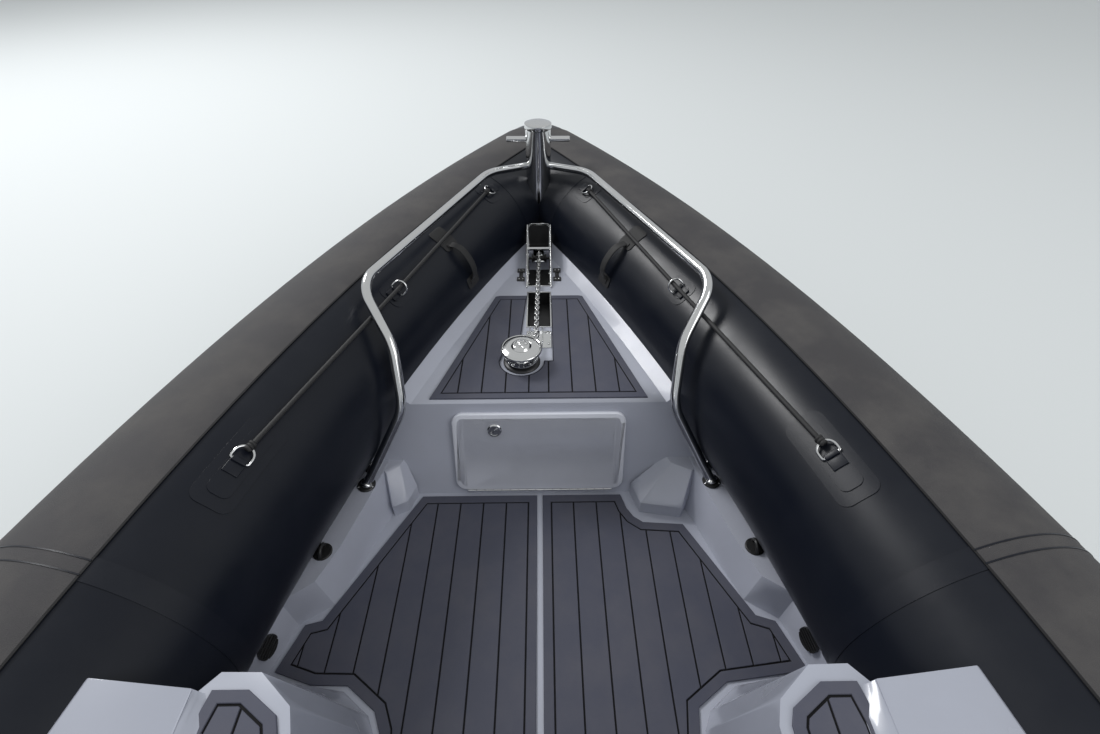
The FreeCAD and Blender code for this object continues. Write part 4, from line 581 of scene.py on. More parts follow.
def closed_pipe(bm, line, radii, sides, up):
    """A round wire of given radii along a closed line that lies in the plane square to up."""
    loops = []
    for k, spot_at in enumerate(line):
        way = (line[(k + 1) % len(line)] - line[k - 1]).normalized()
        loops.append(hoop(bm, circle(spot_at, way.cross(up).normalized(), up, radii[k % len(radii)], sides)))
    bridge(bm, loops, False)
    bmesh.ops.bridge_loops(bm, edges=loops[-1] + loops[0])


def tube_frame(y, degrees, lift=0.0):
    """A place on the port tube: X aft along it, Z out of it."""
    spot_at, normal = on_tube(y, degrees, lift)
    aft = axis_at(y)[2]
    across = normal.cross(aft)
    made = Matrix((aft, across, normal)).transposed().to_4x4()
    made.translation = spot_at
    return made


def sheet_patch(bm, y, length, start, stop, low, high, corner):
    """A thin patch with rounded corners that follows the port tube."""
    wide = math.radians(abs(stop - start)) * TUBE
    half = length / 2 - corner
    arc = [half + corner * math.sin(math.pi / 2 * k / 6) for k in range(7)]
    loops = []
    for along in [-reach for reach in arc[::-1]] + stations(-half, half, 0.03)[1:-1] + arc:
        tuck = max(0.0, abs(along) - half)
        pull = (corner - math.sqrt(max(0, corner ** 2 - tuck ** 2))) / wide
        first, final = start + (stop - start) * pull, stop - (stop - start) * pull
        angles = [first + (final - first) * n / 12 for n in range(13)]
        loops.append(hoop(bm, [on_tube(y + along, a, low)[0] for a in angles]
                          + [on_tube(y + along, a, high)[0] for a in reversed(angles)]))
    bridge(bm, loops)


RING_R, RING_WIRE, SEAT = 0.024, 0.0034, 0.006
RINGS = (
    # station, degrees from the crown, patch length, patch from, patch to, the way the ring points, its lean
    (-3.552, -31, 0.120, -21, -41, -90, 14),
    (-2.800, -40, 0.110, -31, -49, 90, 66),
    (-2.030, -37, 0.262, -28, -48, 90, 14),
)
patches, rings = bmesh.new(), bmesh.new()
ring_places = []
for y, degrees, length, start, stop, turn, lean in RINGS:
    middle = (start + stop) / 2
    sheet_patch(patches, y, length, start, stop, 0.0002, 0.0020, 0.028)
    reach = 0.28 * (start - stop)
    sheet_patch(patches, y, length * 0.76, middle + reach, middle - reach, 0.0015, 0.0042, 0.020)
    at = tube_frame(y, degrees, 0.0023)
    ring_places.append(at @ moved((0, 0, SEAT)))
    at = at @ turned(turn, "Z")
    block(patches, (-0.020, -0.042, -0.001), (0.020, 0.002, 0.0052), at, 0.0018)
    block(patches, (-0.0185, -0.0115, -0.001), (0.0185, 0.0025, 0.0112), at, 0.003)
    tilted = at @ moved((0, 0, SEAT)) @ turned(lean, "X")
    spots = [(RING_R * math.cos(a), 0.011 + RING_R * math.sin(a))
             for a in (math.pi * k / 24 for k in range(25))]
    spots += [(-RING_R, 0.002), (-0.0232, -0.0025), (-0.020, -0.0045), (0, -0.0048), (0.020, -0.0045),
              (0.0232, -0.0025), (RING_R, 0.002)]
    closed_pipe(rings, [tilted @ Vector((x, y, 0)) for x, y in spots], [RING_WIRE], 14, tilted.to_3x3() @ UP)
show(patches, "ring_patches", "boat", seam_fabric, ["tube_patches"], soft_edge=25,
     mirror=True, bevel=0.0007)
show(rings, "tow_rings", "boat", stainless, ["tow_rings"], soft_edge=60, mirror=True)

webbing = dressed("webbing", (0.012, 0.012, 0.013), (0.028, 0.028, 0.030), 0.66, size=420, amount=0.7,
                  grains=1300, depth=0.4, distance=0.0004)
bm = bmesh.new()
handle_y = -3.150
for start, stop in ((-27, -46), (-70, -79)):
    sheet_patch(bm, handle_y, 0.078, start, stop, 0.0002, 0.0034, 0.012)
for start, stop in ((-41, -44.4), (-72, -76)):
    sheet_patch(bm, handle_y, 0.040, start, stop, 0.002, 0.0070, 0.004)
rows = [(-42, 0.004), (-44, 0.012), (-47, 0.026), (-50, 0.033), (-54, 0.036), (-60, 0.037), (-65, 0.034),
        (-69, 0.026), (-72, 0.013), (-73.5, 0.004)]
aft = axis_at(handle_y)[2]
loops = []
for degrees, lift in rows:
    low, normal = on_tube(handle_y, degrees, lift - 0.003)
    loops.append(hoop(bm, [low + aft * u + normal * v for u, v in
                           ((-0.017, 0.001), (-0.016, 0), (0.016, 0), (0.017, 0.001), (0.017, 0.004),
                            (0.016, 0.005), (-0.016, 0.005), (-0.017, 0.004))]))
bridge(bm, loops)
show(bm, "lift_handles", "boat", webbing, ["lift_handles"], mirror=True, levels=1)

bm = bmesh.new()
for y in (-3.730, -3.180, -2.560, -1.900, -1.180, -0.420, 0.380, 1.180, 1.980, 2.780, 3.560):
    at = tube_frame(y, ROPE_ANGLE)
    block(bm, (-0.033, -0.023, -0.003), (0.033, 0.023, 0.003), at, 0.002)
    arch = [(-0.0115, -0.001), (-0.0115, 0.012), (-0.009, 0.0175), (-0.004, 0.0205), (0.004, 0.0205),
            (0.009, 0.0175), (0.0115, 0.012), (0.0115, -0.001)]
    for x in (-0.014, 0.0, 0.014):
        bridge(bm, [hoop(bm, [at @ Vector((x + u, v, w)) for v, w in arch]) for u in (-0.0045, 0.0045)])
    bridge(bm, [hoop(bm, [at @ Vector((u, v * 0.93, w * 0.95)) for v, w in arch]) for u in (-0.020, 0.020)])
show(bm, "line_holders", "boat", strake_rubber, ["line_holders"], mirror=True)

# Inner lifeline: from the front ring, through the middle one, to the rear ring, a hitch at each end.
HITCH_TURNS, HITCH_R = 2.6, 0.0068
line_ends = [ring_places[0] @ Vector((0.036, 0, 0.0077)), ring_places[1] @ Vector((0, 0, 0.020)),
             ring_places[2] @ Vector((-0.036, 0, 0.0077))]
line = rounded_line(line_ends, [0.9], math.radians(1))
fine = []
for one, two in zip(line, line[1:]):
    count = max(1, round((two - one).length / 0.008))
    fine += [one.lerp(two, k / count) for k in range(count)]
fine.append(line[-1])
bm = bmesh.new()
braided(bm, fine, ROPE * 0.97)
for spot_at, other in ((fine[0], fine[1]), (fine[-1], fine[-2])):
    ahead = (other - spot_at).normalized()
    side = ahead.cross(UP).normalized()
    top = side.cross(ahead)
    coil = []
    for k in range(60):
        angle = 2 * math.pi * HITCH_TURNS * k / 59
        coil.append(spot_at + ahead * (-0.010 + 0.022 * k / 59)
                    + (side * math.cos(angle) + top * math.sin(angle)) * HITCH_R)
    pipe(bm, coil, 0.0052, 8)
show(bm, "inner_lifelines", "boat", rope_fibre, ["lifelines_inner"], soft_edge=60, mirror=True)

# Hull: white moulded laminate with a deep vee, chines and a gloss skin, faintly stained all over.
MOULDED_EDGE = 25


def moulded(name, node, material, width, moves=()):
    """A moulded piece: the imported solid's own skin, welded into whole faces and its edges rounded."""
    made = bmesh.new()
    made.from_mesh(nodes[node].data)
    bmesh.ops.remove_doubles(made, verts=made.verts[:], dist=0.00003)
    bmesh.ops.dissolve_limit(made, angle_limit=math.radians(0.6), verts=made.verts[:], edges=made.edges[:])
    for vert in made.verts:
        for low, high, shift in moves:
            if all(low[k] < vert.co[k] < high[k] for k in range(3)):
                vert.co += Vector(shift)
    item = placed(made, name, material, MOULDED_EDGE)
    round_off(item, width, 3, MOULDED_EDGE)
    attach(item, nodes[node]["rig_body"])
    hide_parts(node)


hull_gelcoat = dressed("hull_gelcoat", (0.62, 0.64, 0.69), (0.54, 0.55, 0.56), 0.12, size=1.6, amount=0.35,
                       coat=0.6)
moulded("hull_moulding", "hull", hull_gelcoat, 0.006)

# Deck: one pale grey moulding with a satin skin, its level parts moulded with a fine non-slip stipple.
# Its grey leans blue: a painted bluish cast of the shade light, on the deck and on the swim platforms that
# share it.
deck_gelcoat = dressed("deck_gelcoat", (0.445, 0.465, 0.545), (0.40, 0.415, 0.475), 0.34, size=3.2,
                       amount=0.45, coat=0.12)
tree = deck_gelcoat.node_tree
shape = add(tree, "NewGeometry")
split = add(tree, "SeparateXYZ")
level = add(tree, "MapRange", From_Min=0.90, From_Max=0.985)
place = add(tree, "TexCoord")
pips = add(tree, "TexVoronoi", feature="SMOOTH_F1", Scale=230.0, Smoothness=0.35)
speck = add(tree, "TexNoise", Scale=520.0, Detail=2.0)
both = add(tree, "Math", operation="ADD")
height = add(tree, "Math", operation="MULTIPLY")
bump = add(tree, "Bump", Strength=0.30, Distance=0.0009)
linked(tree, (shape.outputs["Normal"], split.inputs[0]), (split.outputs["Z"], level.inputs["Value"]),
       (place.outputs["Object"], pips.inputs["Vector"]), (place.outputs["Object"], speck.inputs["Vector"]),
       (pips.outputs["Distance"], both.inputs[0]), (speck.outputs["Fac"], both.inputs[1]),
       (both.outputs[0], height.inputs[0]), (level.outputs[0], height.inputs[1]),
       (height.outputs[0], bump.inputs["Height"]),
       (bump.outputs[0], tree.nodes["Principled BSDF"].inputs["Normal"]))
moulded("deck_moulding", "deck", deck_gelcoat, 0.007)

# Locker lid: a separate plate with rounded corners and a raised border, on a piano hinge along its foot,
# with a flush round latch.
# The lid's gelcoat is painted much lighter and bluer than the deck's: painted light for the light its raked
# face catches, with a bluish cast of shade light.
lid_gelcoat = dressed("lid_gelcoat", (0.74, 0.76, 0.84), (0.66, 0.68, 0.75), 0.30, size=5, amount=0.4,
                      coat=0.15, grains=500, depth=0.05)
RAKE = math.radians(16)
LID_W, LID_T, LID_H, LID_FOOT = 0.586, 0.016, 0.306, 0.234
lid_low = Vector((0, -2.338 - 0.024 * math.tan(RAKE) + 0.0003 / math.cos(RAKE), LID_FOOT))
lid_at = moved(lid_low) @ Matrix.Rotation(RAKE, 4, "X")


def rounded_square(half, low, high, corner, inset=0.0, steps=8):
    """Points round a rectangle with arc corners, half its width each side and from low to high."""
    spots = []
    corner = max(0.001, corner - inset)
    for cx, cz, start in ((half - inset - corner, high - inset - corner, 0),
                          (-half + inset + corner, high - inset - corner, 90),
                          (-half + inset + corner, low + inset + corner, 180),
                          (half - inset - corner, low + inset + corner, 270)):
        for k in range(steps + 1):
            angle = math.radians(start + 90 * k / steps)
            spots.append((cx + corner * math.cos(angle), cz + corner * math.sin(angle)))
    return spots


bm = bmesh.new()
skin = ((0.0, 0.0), (0.0, 0.012), (0.0012, 0.0148), (0.004, 0.016), (0.017, 0.016), (0.0205, 0.0150),
        (0.023, 0.0128), (0.030, 0.0122))
loops = [hoop(bm, [lid_at @ Vector((x, depth, z))
                   for x, z in rounded_square(LID_W / 2, 0, LID_H, 0.038, inset)])
         for inset, depth in skin]
bridge(bm, loops)
show(bm, "locker_lid", "lid", lid_gelcoat, ["locker_lid"], soft_edge=50)
bm = bmesh.new()
latch_at = lid_at @ moved((0.150, 0.0163, LID_H - 0.062)) @ turned(-90, "X")
lathe(bm, ((0, 0), (0.024, 0), (0.024, 0.0016), (0.0225, 0.0032), (0.0195, 0.0045), (0.0175, 0.0045),
           (0.0168, 0.0026), (0, 0.0026)), latch_at)
block(bm, (-0.0135, -0.0035, 0.0024), (0.0135, 0.0035, 0.0046), latch_at @ Matrix.Rotation(0.7, 4, "Z"),
      0.001)
show(bm, "lid_latch", "lid", stainless, ["lid_latch"])
bm = bmesh.new()
pin = lid_at @ Vector((0, LID_T - 0.004, -0.0045))
for k in range(17):
    left = -0.255 + 0.030 * k
    lathe(bm, ((0, 0), (0.0034, 0), (0.004, 0.0008), (0.004, 0.0284), (0.0034, 0.0292), (0, 0.0292)),
          moved(pin + Vector((left + 0.0004, 0, 0))) @ turned(90, "Y"), 14)
block(bm, (-0.255, 0.0003, -0.016), (0.255, 0.0022, -0.0060), lid_at, 0.0006)
for k in range(9):
    lathe(bm, ((0.0032, 0), (0.0028, 0.0012), (0.001, 0.0018), (0, 0.0018)),
          lid_at @ moved((-0.24 + 0.06 * k, 0.002, -0.0115)) @ turned(-90, "X"), 14)
show(bm, "lid_hinge", "boat", stainless, ["lid_hinge"])

# Foam decking: dark grey closed-cell sheet glued down, with its planks and border cut through to a
# black layer beneath.
# The foam's grey leans blue: a painted bluish cast of the shade light.
foam_grey = dressed("deck_foam", (0.074, 0.078, 0.108), (0.096, 0.097, 0.122), 0.58, size=7, amount=0.7,
                    grains=900, depth=0.35, distance=0.0004, specular=0.3)
foam_black = dressed("foam_groove", (0.008, 0.008, 0.009), (0.014, 0.014, 0.015), 0.8, size=30, grains=700,
                     specular=0.2)


def inset_line(outline, by, still=()):
    """A closed outline shifted inwards side by side; the sides that are still stay where they are."""
    area = sum(a[0] * b[1] - b[0] * a[1] for a, b in zip(outline, outline[1:] + outline[:1]))
    turn = 1 if area > 0 else -1
    shifted = []
    for k, here in enumerate(outline):
        one = (Vector(here) - Vector(outline[k - 1])).normalized()
        two = (Vector(outline[(k + 1) % len(outline)]) - Vector(here)).normalized()
        n_one, n_two = Vector((-one.y, one.x)) * turn, Vector((-two.y, two.x)) * turn
        d_one, d_two = (0 if (k - 1) % len(outline) in still else by), (0 if k in still else by)
        cross = n_one.x * n_two.y - n_one.y * n_two.x
        if abs(cross) < 0.1:
            shift = (n_one + n_two).normalized() * (d_one + d_two) / 2
        else:
            shift = Vector((d_one * n_two.y - d_two * n_one.y, d_two * n_one.x - d_one * n_two.x)) / cross
        shifted.append(tuple(Vector(here) + shift))
    for k, (here, there) in enumerate(zip(shifted, shifted[1:] + shifted[:1])):
        after = (k + 1) % len(outline)
        if (Vector(there) - Vector(here)).dot(Vector(outline[after]) - Vector(outline[k])) < 0:
            shifted[k] = shifted[after] = tuple((Vector(here) + Vector(there)) / 2)
    return shifted


def drawn_up(bm, outlines):
    """A skin drawn from one closed outline through others of like corners; its first and last edges."""
    verts = [bm.verts.new(p) for p in outlines[0]]
    edges = first = [bm.edges.new(pair) for pair in zip(verts, verts[1:] + verts[:1])]
    for outline in outlines[1:]:
        made = bmesh.ops.extrude_edge_only(bm, edges=edges)["geom"]
        place = {vert: k for k, vert in enumerate(verts)}
        after = list(verts)
        for vert in (g for g in made if isinstance(g, bmesh.types.BMVert)):
            for edge in vert.link_edges:
                if edge.other_vert(vert) in place:
                    after[place[edge.other_vert(vert)]] = vert
        for vert, spot_at in zip(after, outline):
            vert.co = spot_at
        verts = after
        edges = [bm.edges.get(pair) for pair in zip(verts, verts[1:] + verts[:1])]
    return first, edges


# The width of a groove, the foam's thickness, the height of the black sheet, and how far the foam
# starts above the deck.
GROOVE, THICK, SHEET_Z, SUNK = 0.0048, 0.006, 0.0028, 0.0005
FLOOR_Z, FOREDECK_Z, STEP_Z = 0.2103, 0.5593, 0.7853


def decking(name, node, outline, z, border, grooves, mirror=False, still=()):
    """A foam pad: a black sheet, a grey border round it, and grey planks parted at the grooves."""
    sheet = bmesh.new()
    under_grooves = inset_line(outline, 0.0004)
    ends = drawn_up(sheet, [[Vector((x, y, z + h)) for x, y in under_grooves] for h in (0, SHEET_Z)])
    for loop in ends:
        bmesh.ops.contextual_create(sheet, geom=loop)
    show(sheet, name + "_grooves", "boat", foam_black, [node], mirror=mirror, soft_edge=20)
    grey = bmesh.new()
    rings = []
    for by, h in ((0.0, SUNK), (0.0, THICK - 0.0010), (0.0012, THICK), (border - 0.0012, THICK),
                  (border, THICK - 0.0010), (border, SUNK)):
        line = inset_line(outline, by, still if by > 0.002 else ())
        rings.append([Vector((x, y, z + h)) for x, y in line])
    drawn_up(grey, rings)
    field = inset_line(outline, border + GROOVE, still)
    if still:
        field = inset_line(field, 0.003, [k for k in range(len(outline)) if k not in still])
    field = [spot_at for spot_at, before in zip(field, field[-1:] + field[:-1])
             if (Vector(spot_at) - Vector(before)).length > 1e-5]
    cuts = [-9.0] + sorted(grooves) + [9.0]
    for left, right in zip(cuts, cuts[1:]):
        flat = bmesh.new()
        bmesh.ops.contextual_create(flat, geom=hoop(flat, [Vector((x, y, z + SUNK)) for x, y in field]))
        bmesh.ops.triangulate(flat, faces=flat.faces[:], ngon_method="EAR_CLIP")
        for at, way in ((left + GROOVE / 2, -1), (right - GROOVE / 2, 1)):
            bmesh.ops.bisect_plane(flat, geom=everything(flat), plane_co=(at, 0, 0), plane_no=(way, 0, 0),
                                   clear_outer=True)
        if not flat.faces:
            flat.free()
            continue
        bmesh.ops.dissolve_limit(flat, angle_limit=math.radians(0.5), verts=flat.verts[:],
                                 edges=flat.edges[:])
        up = bmesh.ops.extrude_face_region(flat, geom=flat.faces[:])["geom"]
        verts = [g for g in up if isinstance(g, bmesh.types.BMVert)]
        bmesh.ops.translate(flat, vec=(0, 0, THICK - SUNK), verts=verts)
        top_edges = [e for e in flat.edges if all(v.co.z > z + THICK - 0.0002 for v in e.verts)]
        bmesh.ops.bevel(flat, geom=top_edges, offset=0.0009, segments=1, profile=0.5, affect="EDGES",
                        material=-1)
        poured(grey, flat)
    show(grey, name + "_planks", "boat", foam_grey, mirror=mirror, soft_edge=20)


PITCH_X = 0.080
PORT_PAD = [(0.010, -2.320), (0.415, -2.320), (0.644, -1.879), (0.691, -1.867), (0.735, -1.737),
            (0.627, -1.702), (0.524, -1.699), (0.437, -1.635), (0.414, -1.585), (0.400, -1.500), (0.400, 0),
            (0.010, 0)]
STARBOARD_PAD = [(-0.010, -2.320), (-0.286, -2.320), (-0.302, -2.262), (-0.322, -2.228), (-0.352, -2.205),
                 (-0.486, -2.195), (-0.644, -1.879), (-0.697, -1.861), (-0.746, -1.722), (-0.512, -1.695),
                 (-0.422, -1.633), (-0.414, -1.585), (-0.400, -1.500), (-0.400, 0), (-0.010, 0)]
planks = [0.0375 + PITCH_X * k for k in range(1, 10)]
decking("floor_port", "deck_pad_port", PORT_PAD, FLOOR_Z, 0.028, planks)
decking("floor_starboard", "deck_pad_starboard", STARBOARD_PAD, FLOOR_Z, 0.028, [-x for x in planks])
slot_edge, barrel, CUT_R = 0.050, Vector((0.061, -2.649, 0)), 0.080
arc_spots = [(barrel.x + CUT_R * math.cos(a), barrel.y + CUT_R * math.sin(a))
             for a in [math.pi - math.pi * k / 12 for k in range(13)] + [-0.5, -1.0, -1.4331]]
FOREDECK = ([(-slot_edge, -3.067), (-slot_edge, -2.649)] + arc_spots
            + [(slot_edge, -3.067), (0.162, -3.067), (0.179, -3.062), (0.365, -2.458), (-0.365, -2.458),
               (-0.179, -3.062), (-0.162, -3.067)])
decking("foredeck", "foredeck_pad", FOREDECK, FOREDECK_Z, 0.024,
        [s * (0.034 + PITCH_X * k) for k in range(5) for s in (1, -1)],
        still=range(FOREDECK.index((slot_edge, -3.067))))
STEP_X, STEP_Y = 0.416, -1.520
STEP = [(0.021, 0.100), (0.032, 0.073), (0.094, 0.032), (0.160, 0.032), (0.172, 0.100), (0.172, 0.230),
        (0.160, 0.290), (0.094, 0.290), (0.032, 0.250), (0.021, 0.220)]
decking("step_top", "step_pads", [(STEP_X + x, STEP_Y + y) for x, y in STEP], STEP_Z, 0.022,
        [STEP_X + 0.096], mirror=True)

# Bow post: a stainless tube with a wider brushed cap and a cross bar with closed ends, welded together.
POST_Y, POST_R, POST_H, BAR_Z = -3.698, 0.057, 0.496, 0.985
bm = bmesh.new()
lathe(bm, ((0, 0), (POST_R, 0), (POST_R, POST_H - 0.024), (POST_R + 0.0022, POST_H - 0.0225),
           (POST_R + 0.004, POST_H - 0.0185), (POST_R + 0.004, POST_H - 0.004),
           (POST_R + 0.003, POST_H - 0.0012), (POST_R, POST_H), (0.030, POST_H - 0.0002), (0, POST_H)),
      moved((0, POST_Y, FOREDECK_Z)), 72)
bar_at = moved((-0.1425, POST_Y, BAR_Z)) @ turned(90, "Y")
lathe(bm, ((0, 0), (0.0105, 0), (0.0125, 0.002), (0.0125, 0.283), (0.0105, 0.285), (0, 0.285)), bar_at, 28)
for x in (-POST_R - 0.002, POST_R - 0.004):
    lathe(bm, ((0.0125, 0), (0.0165, 0), (0.0165, 0.003), (0.0125, 0.006)),
          moved((x, POST_Y, BAR_Z)) @ turned(90, "Y"), 28)
show(bm, "bow_post", "boat", stainless, ["bow_post"], soft_edge=40)

# Bow rails: polished stainless tube bent from the post over the tubes and down to a flange on the shelf.
SHELF_Z = 0.3503
RAIL_KNOTS = (
    # station, degrees from the crown, height over the tube, radius of the bend
    (-3.570, -23.3, 0.061, 0.30), (-2.664, -25.8, 0.080, 0.11), (-2.572, -57, 0.062, 0.20),
    (-2.478, -86, 0.056, 0.15),
)
under = math.sqrt(TUBE ** 2 - (AXIS_Z - 0.350) ** 2)
centre, out, aft = axis_at(-2.337)
rail_foot = centre - out * (under + 0.052)
rail_foot.z = SHELF_Z
knots = [on_tube(*row[:3])[0] for row in RAIL_KNOTS]
rail_line = rounded_line([Vector((POST_R - 0.017, POST_Y, 0.865))] + knots + [rail_foot],
                         [row[3] for row in RAIL_KNOTS], math.radians(4))
bm = bmesh.new()
pipe(bm, rail_line, 0.016, 32)
for name, sign in PORT_AND_STARBOARD:
    half = bm.copy()
    if sign < 0:
        to_starboard(half)
    show(half, f"bow_rail_{name}", "boat", stainless, [f"bow_rail_{name}"], soft_edge=60)
bm.free()
leg = (knots[-1] - rail_foot).normalized()
bm, black = bmesh.new(), bmesh.new()
flange_at = moved(rail_foot)
leg_at = moved(rail_foot) @ leg.to_track_quat("Z", "Y").to_matrix().to_4x4()
lathe(black, ((0.0165, 0), (0.030, 0), (0.030, 0.004), (0.0275, 0.0068), (0.0225, 0.0078), (0.0165, 0.0078)),
      flange_at, 48)
lathe(bm, ((0.0163, 0.004), (0.0212, 0.004), (0.0216, 0.0085), (0.0205, 0.0125), (0.0163, 0.0145)), leg_at,
      48)
for k in range(3):
    lathe(bm, ((0.0032, 0.006), (0.0032, 0.0082), (0.0018, 0.0092), (0, 0.0092)),
          flange_at @ turned(120 * k + 30, "Z") @ moved((0.0268, 0, 0)), 12)
black_nylon = dressed("black_nylon", (0.013, 0.013, 0.014), (0.022, 0.022, 0.023), 0.38, size=20, grains=900,
                      depth=0.1)
show(black, "flange_feet", "boat", black_nylon, mirror=True)
show(bm, "rail_flanges", "boat", stainless, ["rail_flanges"], mirror=True, soft_edge=50)

# Windlass: a cast base, a chain wheel and a polished cap whose top has a star-shaped socket for the
# clutch handle.
WHEEL_Z, FIT = FOREDECK_Z + 0.018, 0.0003
bm = bmesh.new()
base_at = moved((barrel.x, barrel.y, FOREDECK_Z))
lathe(bm, ((0, 0), (0.066, 0), (0.066, 0.0045), (0.0645, 0.0065), (0.060, 0.009), (0.046, 0.0115),
           (0.036, 0.0155), (0.036, 0.018), (0, 0.018)), base_at, 64)
dark_metal = dressed("dark_metal", (0.035, 0.035, 0.038), (0.055, 0.055, 0.056), 0.34, size=14, amount=0.7,
                     metallic=0.6)
show(bm, "windlass_base", "boat", dark_metal, ["windlass_base"])
bm = bmesh.new()
wheel_at = moved((barrel.x, barrel.y, WHEEL_Z + FIT))
lathe(bm, ((0, 0), (0.055, 0), (0.0585, 0.0015), (0.058, 0.0032), (0.036, 0.0052), (0.0335, 0.008),
           (0.0335, 0.033), (0.036, 0.0358), (0.056, 0.0385), (0.0705, 0.0400), (0.0735, 0.0420),
           (0.074, 0.0445), (0.0735, 0.0480), (0.0710, 0.0508), (0.0680, 0.0520), (0.0660, 0.0508),
           (0.0640, 0.0522), (0.0500, 0.0556), (0.0372, 0.0578), (0.0360, 0.0572), (0.0342, 0.0590),
           (0.0312, 0.0628), (0.0290, 0.0645), (0.0270, 0.0655), (0.0225, 0.0658), (0.0210, 0.0628),
           (0, 0.0628)), wheel_at, 96)
for k in range(6):
    block(bm, (0.004, -0.0032, 0.0610), (0.0205, 0.0032, 0.0652), wheel_at @ turned(60 * k, "Z"), 0.0012)
lathe(bm, ((0.0075, 0.061), (0.0075, 0.0655), (0.0055, 0.0668), (0, 0.0668)), wheel_at, 24)
for k in range(8):
    at = wheel_at @ turned(45 * k, "Z")
    block(bm, (0.037, -0.010, 0.0040), (0.056, -0.0065, 0.0090), at, 0.001)
    block(bm, (0.037, 0.0065, 0.0040), (0.056, 0.010, 0.0090), at, 0.001)
show(bm, "windlass_gypsy", "gypsy", stainless, ["windlass_gypsy"], soft_edge=40)

# Chain plate and bow roller: folded stainless sheet, screwed to the foredeck, with a hoop over the hawse.
bm = bmesh.new()
block(bm, (-0.047, barrel.y - 0.180, FOREDECK_Z), (0.047, barrel.y - 0.078, FOREDECK_Z + 0.003),
      rounding=0.0012)
for x in (-0.014, 0.034):
    block(bm, (x - 0.002, barrel.y - 0.178, FOREDECK_Z), (x + 0.002, barrel.y - 0.092, FOREDECK_Z + 0.024),
          rounding=0.0012)
for x, y in ((-0.037, -0.168), (0.040, -0.168), (0.040, -0.092), (-0.037, -0.100)):
    lathe(bm, ((0.0048, 0.003), (0.0044, 0.0052), (0.002, 0.0062), (0, 0.0062)),
          moved((x, barrel.y + y, FOREDECK_Z)), 16)
show(bm, "chain_plate", "boat", stainless, ["chain_plate"])
hoop_y, HOOP_H, CHEEK_X = -3.466, 0.130, 0.054
bm = bmesh.new()
for x in (-CHEEK_X, CHEEK_X - 0.004):
    side = [(hoop_y + 0.004, 0), (hoop_y + 0.004, HOOP_H - 0.004), (hoop_y + 0.012, HOOP_H - 0.010),
            (-3.132, 0.006), (-3.130, 0.0)]
    bridge(bm, [hoop(bm, [Vector((x + w, y, FOREDECK_Z + h)) for y, h in side]) for w in (0, 0.004)])
profile = sorted(rounded_square(CHEEK_X, -0.03, HOOP_H, 0.024), key=lambda p: math.atan2(p[1] - 0.03, p[0]))
arch_line = [(CHEEK_X, 0.0)] + [p for p in profile if p[1] > 0.03] + [(-CHEEK_X, 0.0)]
loops = []
for k, (x, z) in enumerate(arch_line):
    before, after = arch_line[max(k - 1, 0)], arch_line[min(k + 1, len(arch_line) - 1)]
    way = Vector((after[0] - before[0], after[1] - before[1])).normalized()
    far_x, far_z = x - way.y * 0.008, z + way.x * 0.008
    loops.append(hoop(bm, [Vector((u, y, FOREDECK_Z + w)) for u, y, w in (
        (x, hoop_y, z), (x, hoop_y + 0.004, z), (far_x, hoop_y + 0.004, far_z), (far_x, hoop_y, far_z))]))
bridge(bm, loops)
rod_at = moved((-0.052, hoop_y + 0.014, FOREDECK_Z + 0.010)) @ turned(90, "Y")
lathe(bm, ((0, 0), (0.009, 0), (0.009, 0.104), (0, 0.104)), rod_at, 24)
for x, y in ((-0.04371, -3.245), (0.04371, -3.245), (-0.04371, -3.165), (0.04371, -3.165)):
    lathe(bm, ((0.0042, 0.001), (0.0040, 0.0034), (0.0018, 0.0042), (0, 0.0042)), moved((x, y, FOREDECK_Z)),
          14)
show(bm, "bow_roller_frame", "boat", stainless, ["anchor_roller"], bevel=0.0008)
bm = bmesh.new()
roller_spot = Vector((0, -3.405, 0.545))
roller_at = moved(roller_spot) @ turned(90, "Y")
wall = 0.0477
lathe(bm, ((0, -wall), (0.006, -wall), (0.006, -0.034), (0.018, -0.034), (0.019, -0.032), (0.019, -0.030),
           (0.0145, -0.024), (0.012, -0.018), (0.012, 0.018), (0.0145, 0.024), (0.019, 0.030),
           (0.019, 0.032), (0.018, 0.034), (0.006, 0.034), (0.006, wall), (0, wall)), roller_at, 32)
show(bm, "bow_roller", "boat", black_nylon)

# Slot trims: a thin bright frame round each chain slot, and within it black walls and a shallow black floor,
# painted shade for the slot's dark depth. The forward slot runs out under the roller, so its trim and its
# black walls are open at that end.
bm, shade_fill = bmesh.new(), bmesh.new()
for half, front, back, open_end in ((0.048, -3.438, -3.148, True), (0.046, -3.098, -2.858, False)):
    trims = [((-half - 0.004, back - 0.0015), (half + 0.004, back + 0.004)),
             ((-half - 0.004, front), (-half + 0.0015, back)), ((half - 0.0015, front), (half + 0.004, back))]
    if not open_end:
        trims.insert(0, ((-half - 0.004, front - 0.004), (half + 0.004, front + 0.0015)))
    for low, high in trims:
        block(bm, (*low, 0.5585), (*high, 0.5612), rounding=0.0006)
    start = front + (0.030 if open_end else 0.0002)
    walls = [((-half + 0.0002, start), (-half + 0.0016, back)),
             ((half - 0.0016, start), (half - 0.0002, back)), ((-half, back - 0.0016), (half, back - 0.0002))]
    if not open_end:
        walls.append(((-half, front + 0.0002), (half, front + 0.0016)))
    for low, high in walls:
        block(shade_fill, (*low, 0.5015), (*high, 0.5586))
    start = front + (0.062 if open_end else 0.0003)
    block(shade_fill, (-half + 0.0003, start, 0.4992), (half - 0.0003, back - 0.0003, 0.5010))
show(bm, "slot_trims", "boat", stainless)
# A black sheet across the roller hoop's opening, where nothing stands: painted shade.
block(shade_fill, (-0.0455, -3.4655, 0.5650), (0.0455, -3.4640, 0.6800))
show(shade_fill, "slot_shade_fills", "boat", black_nylon)

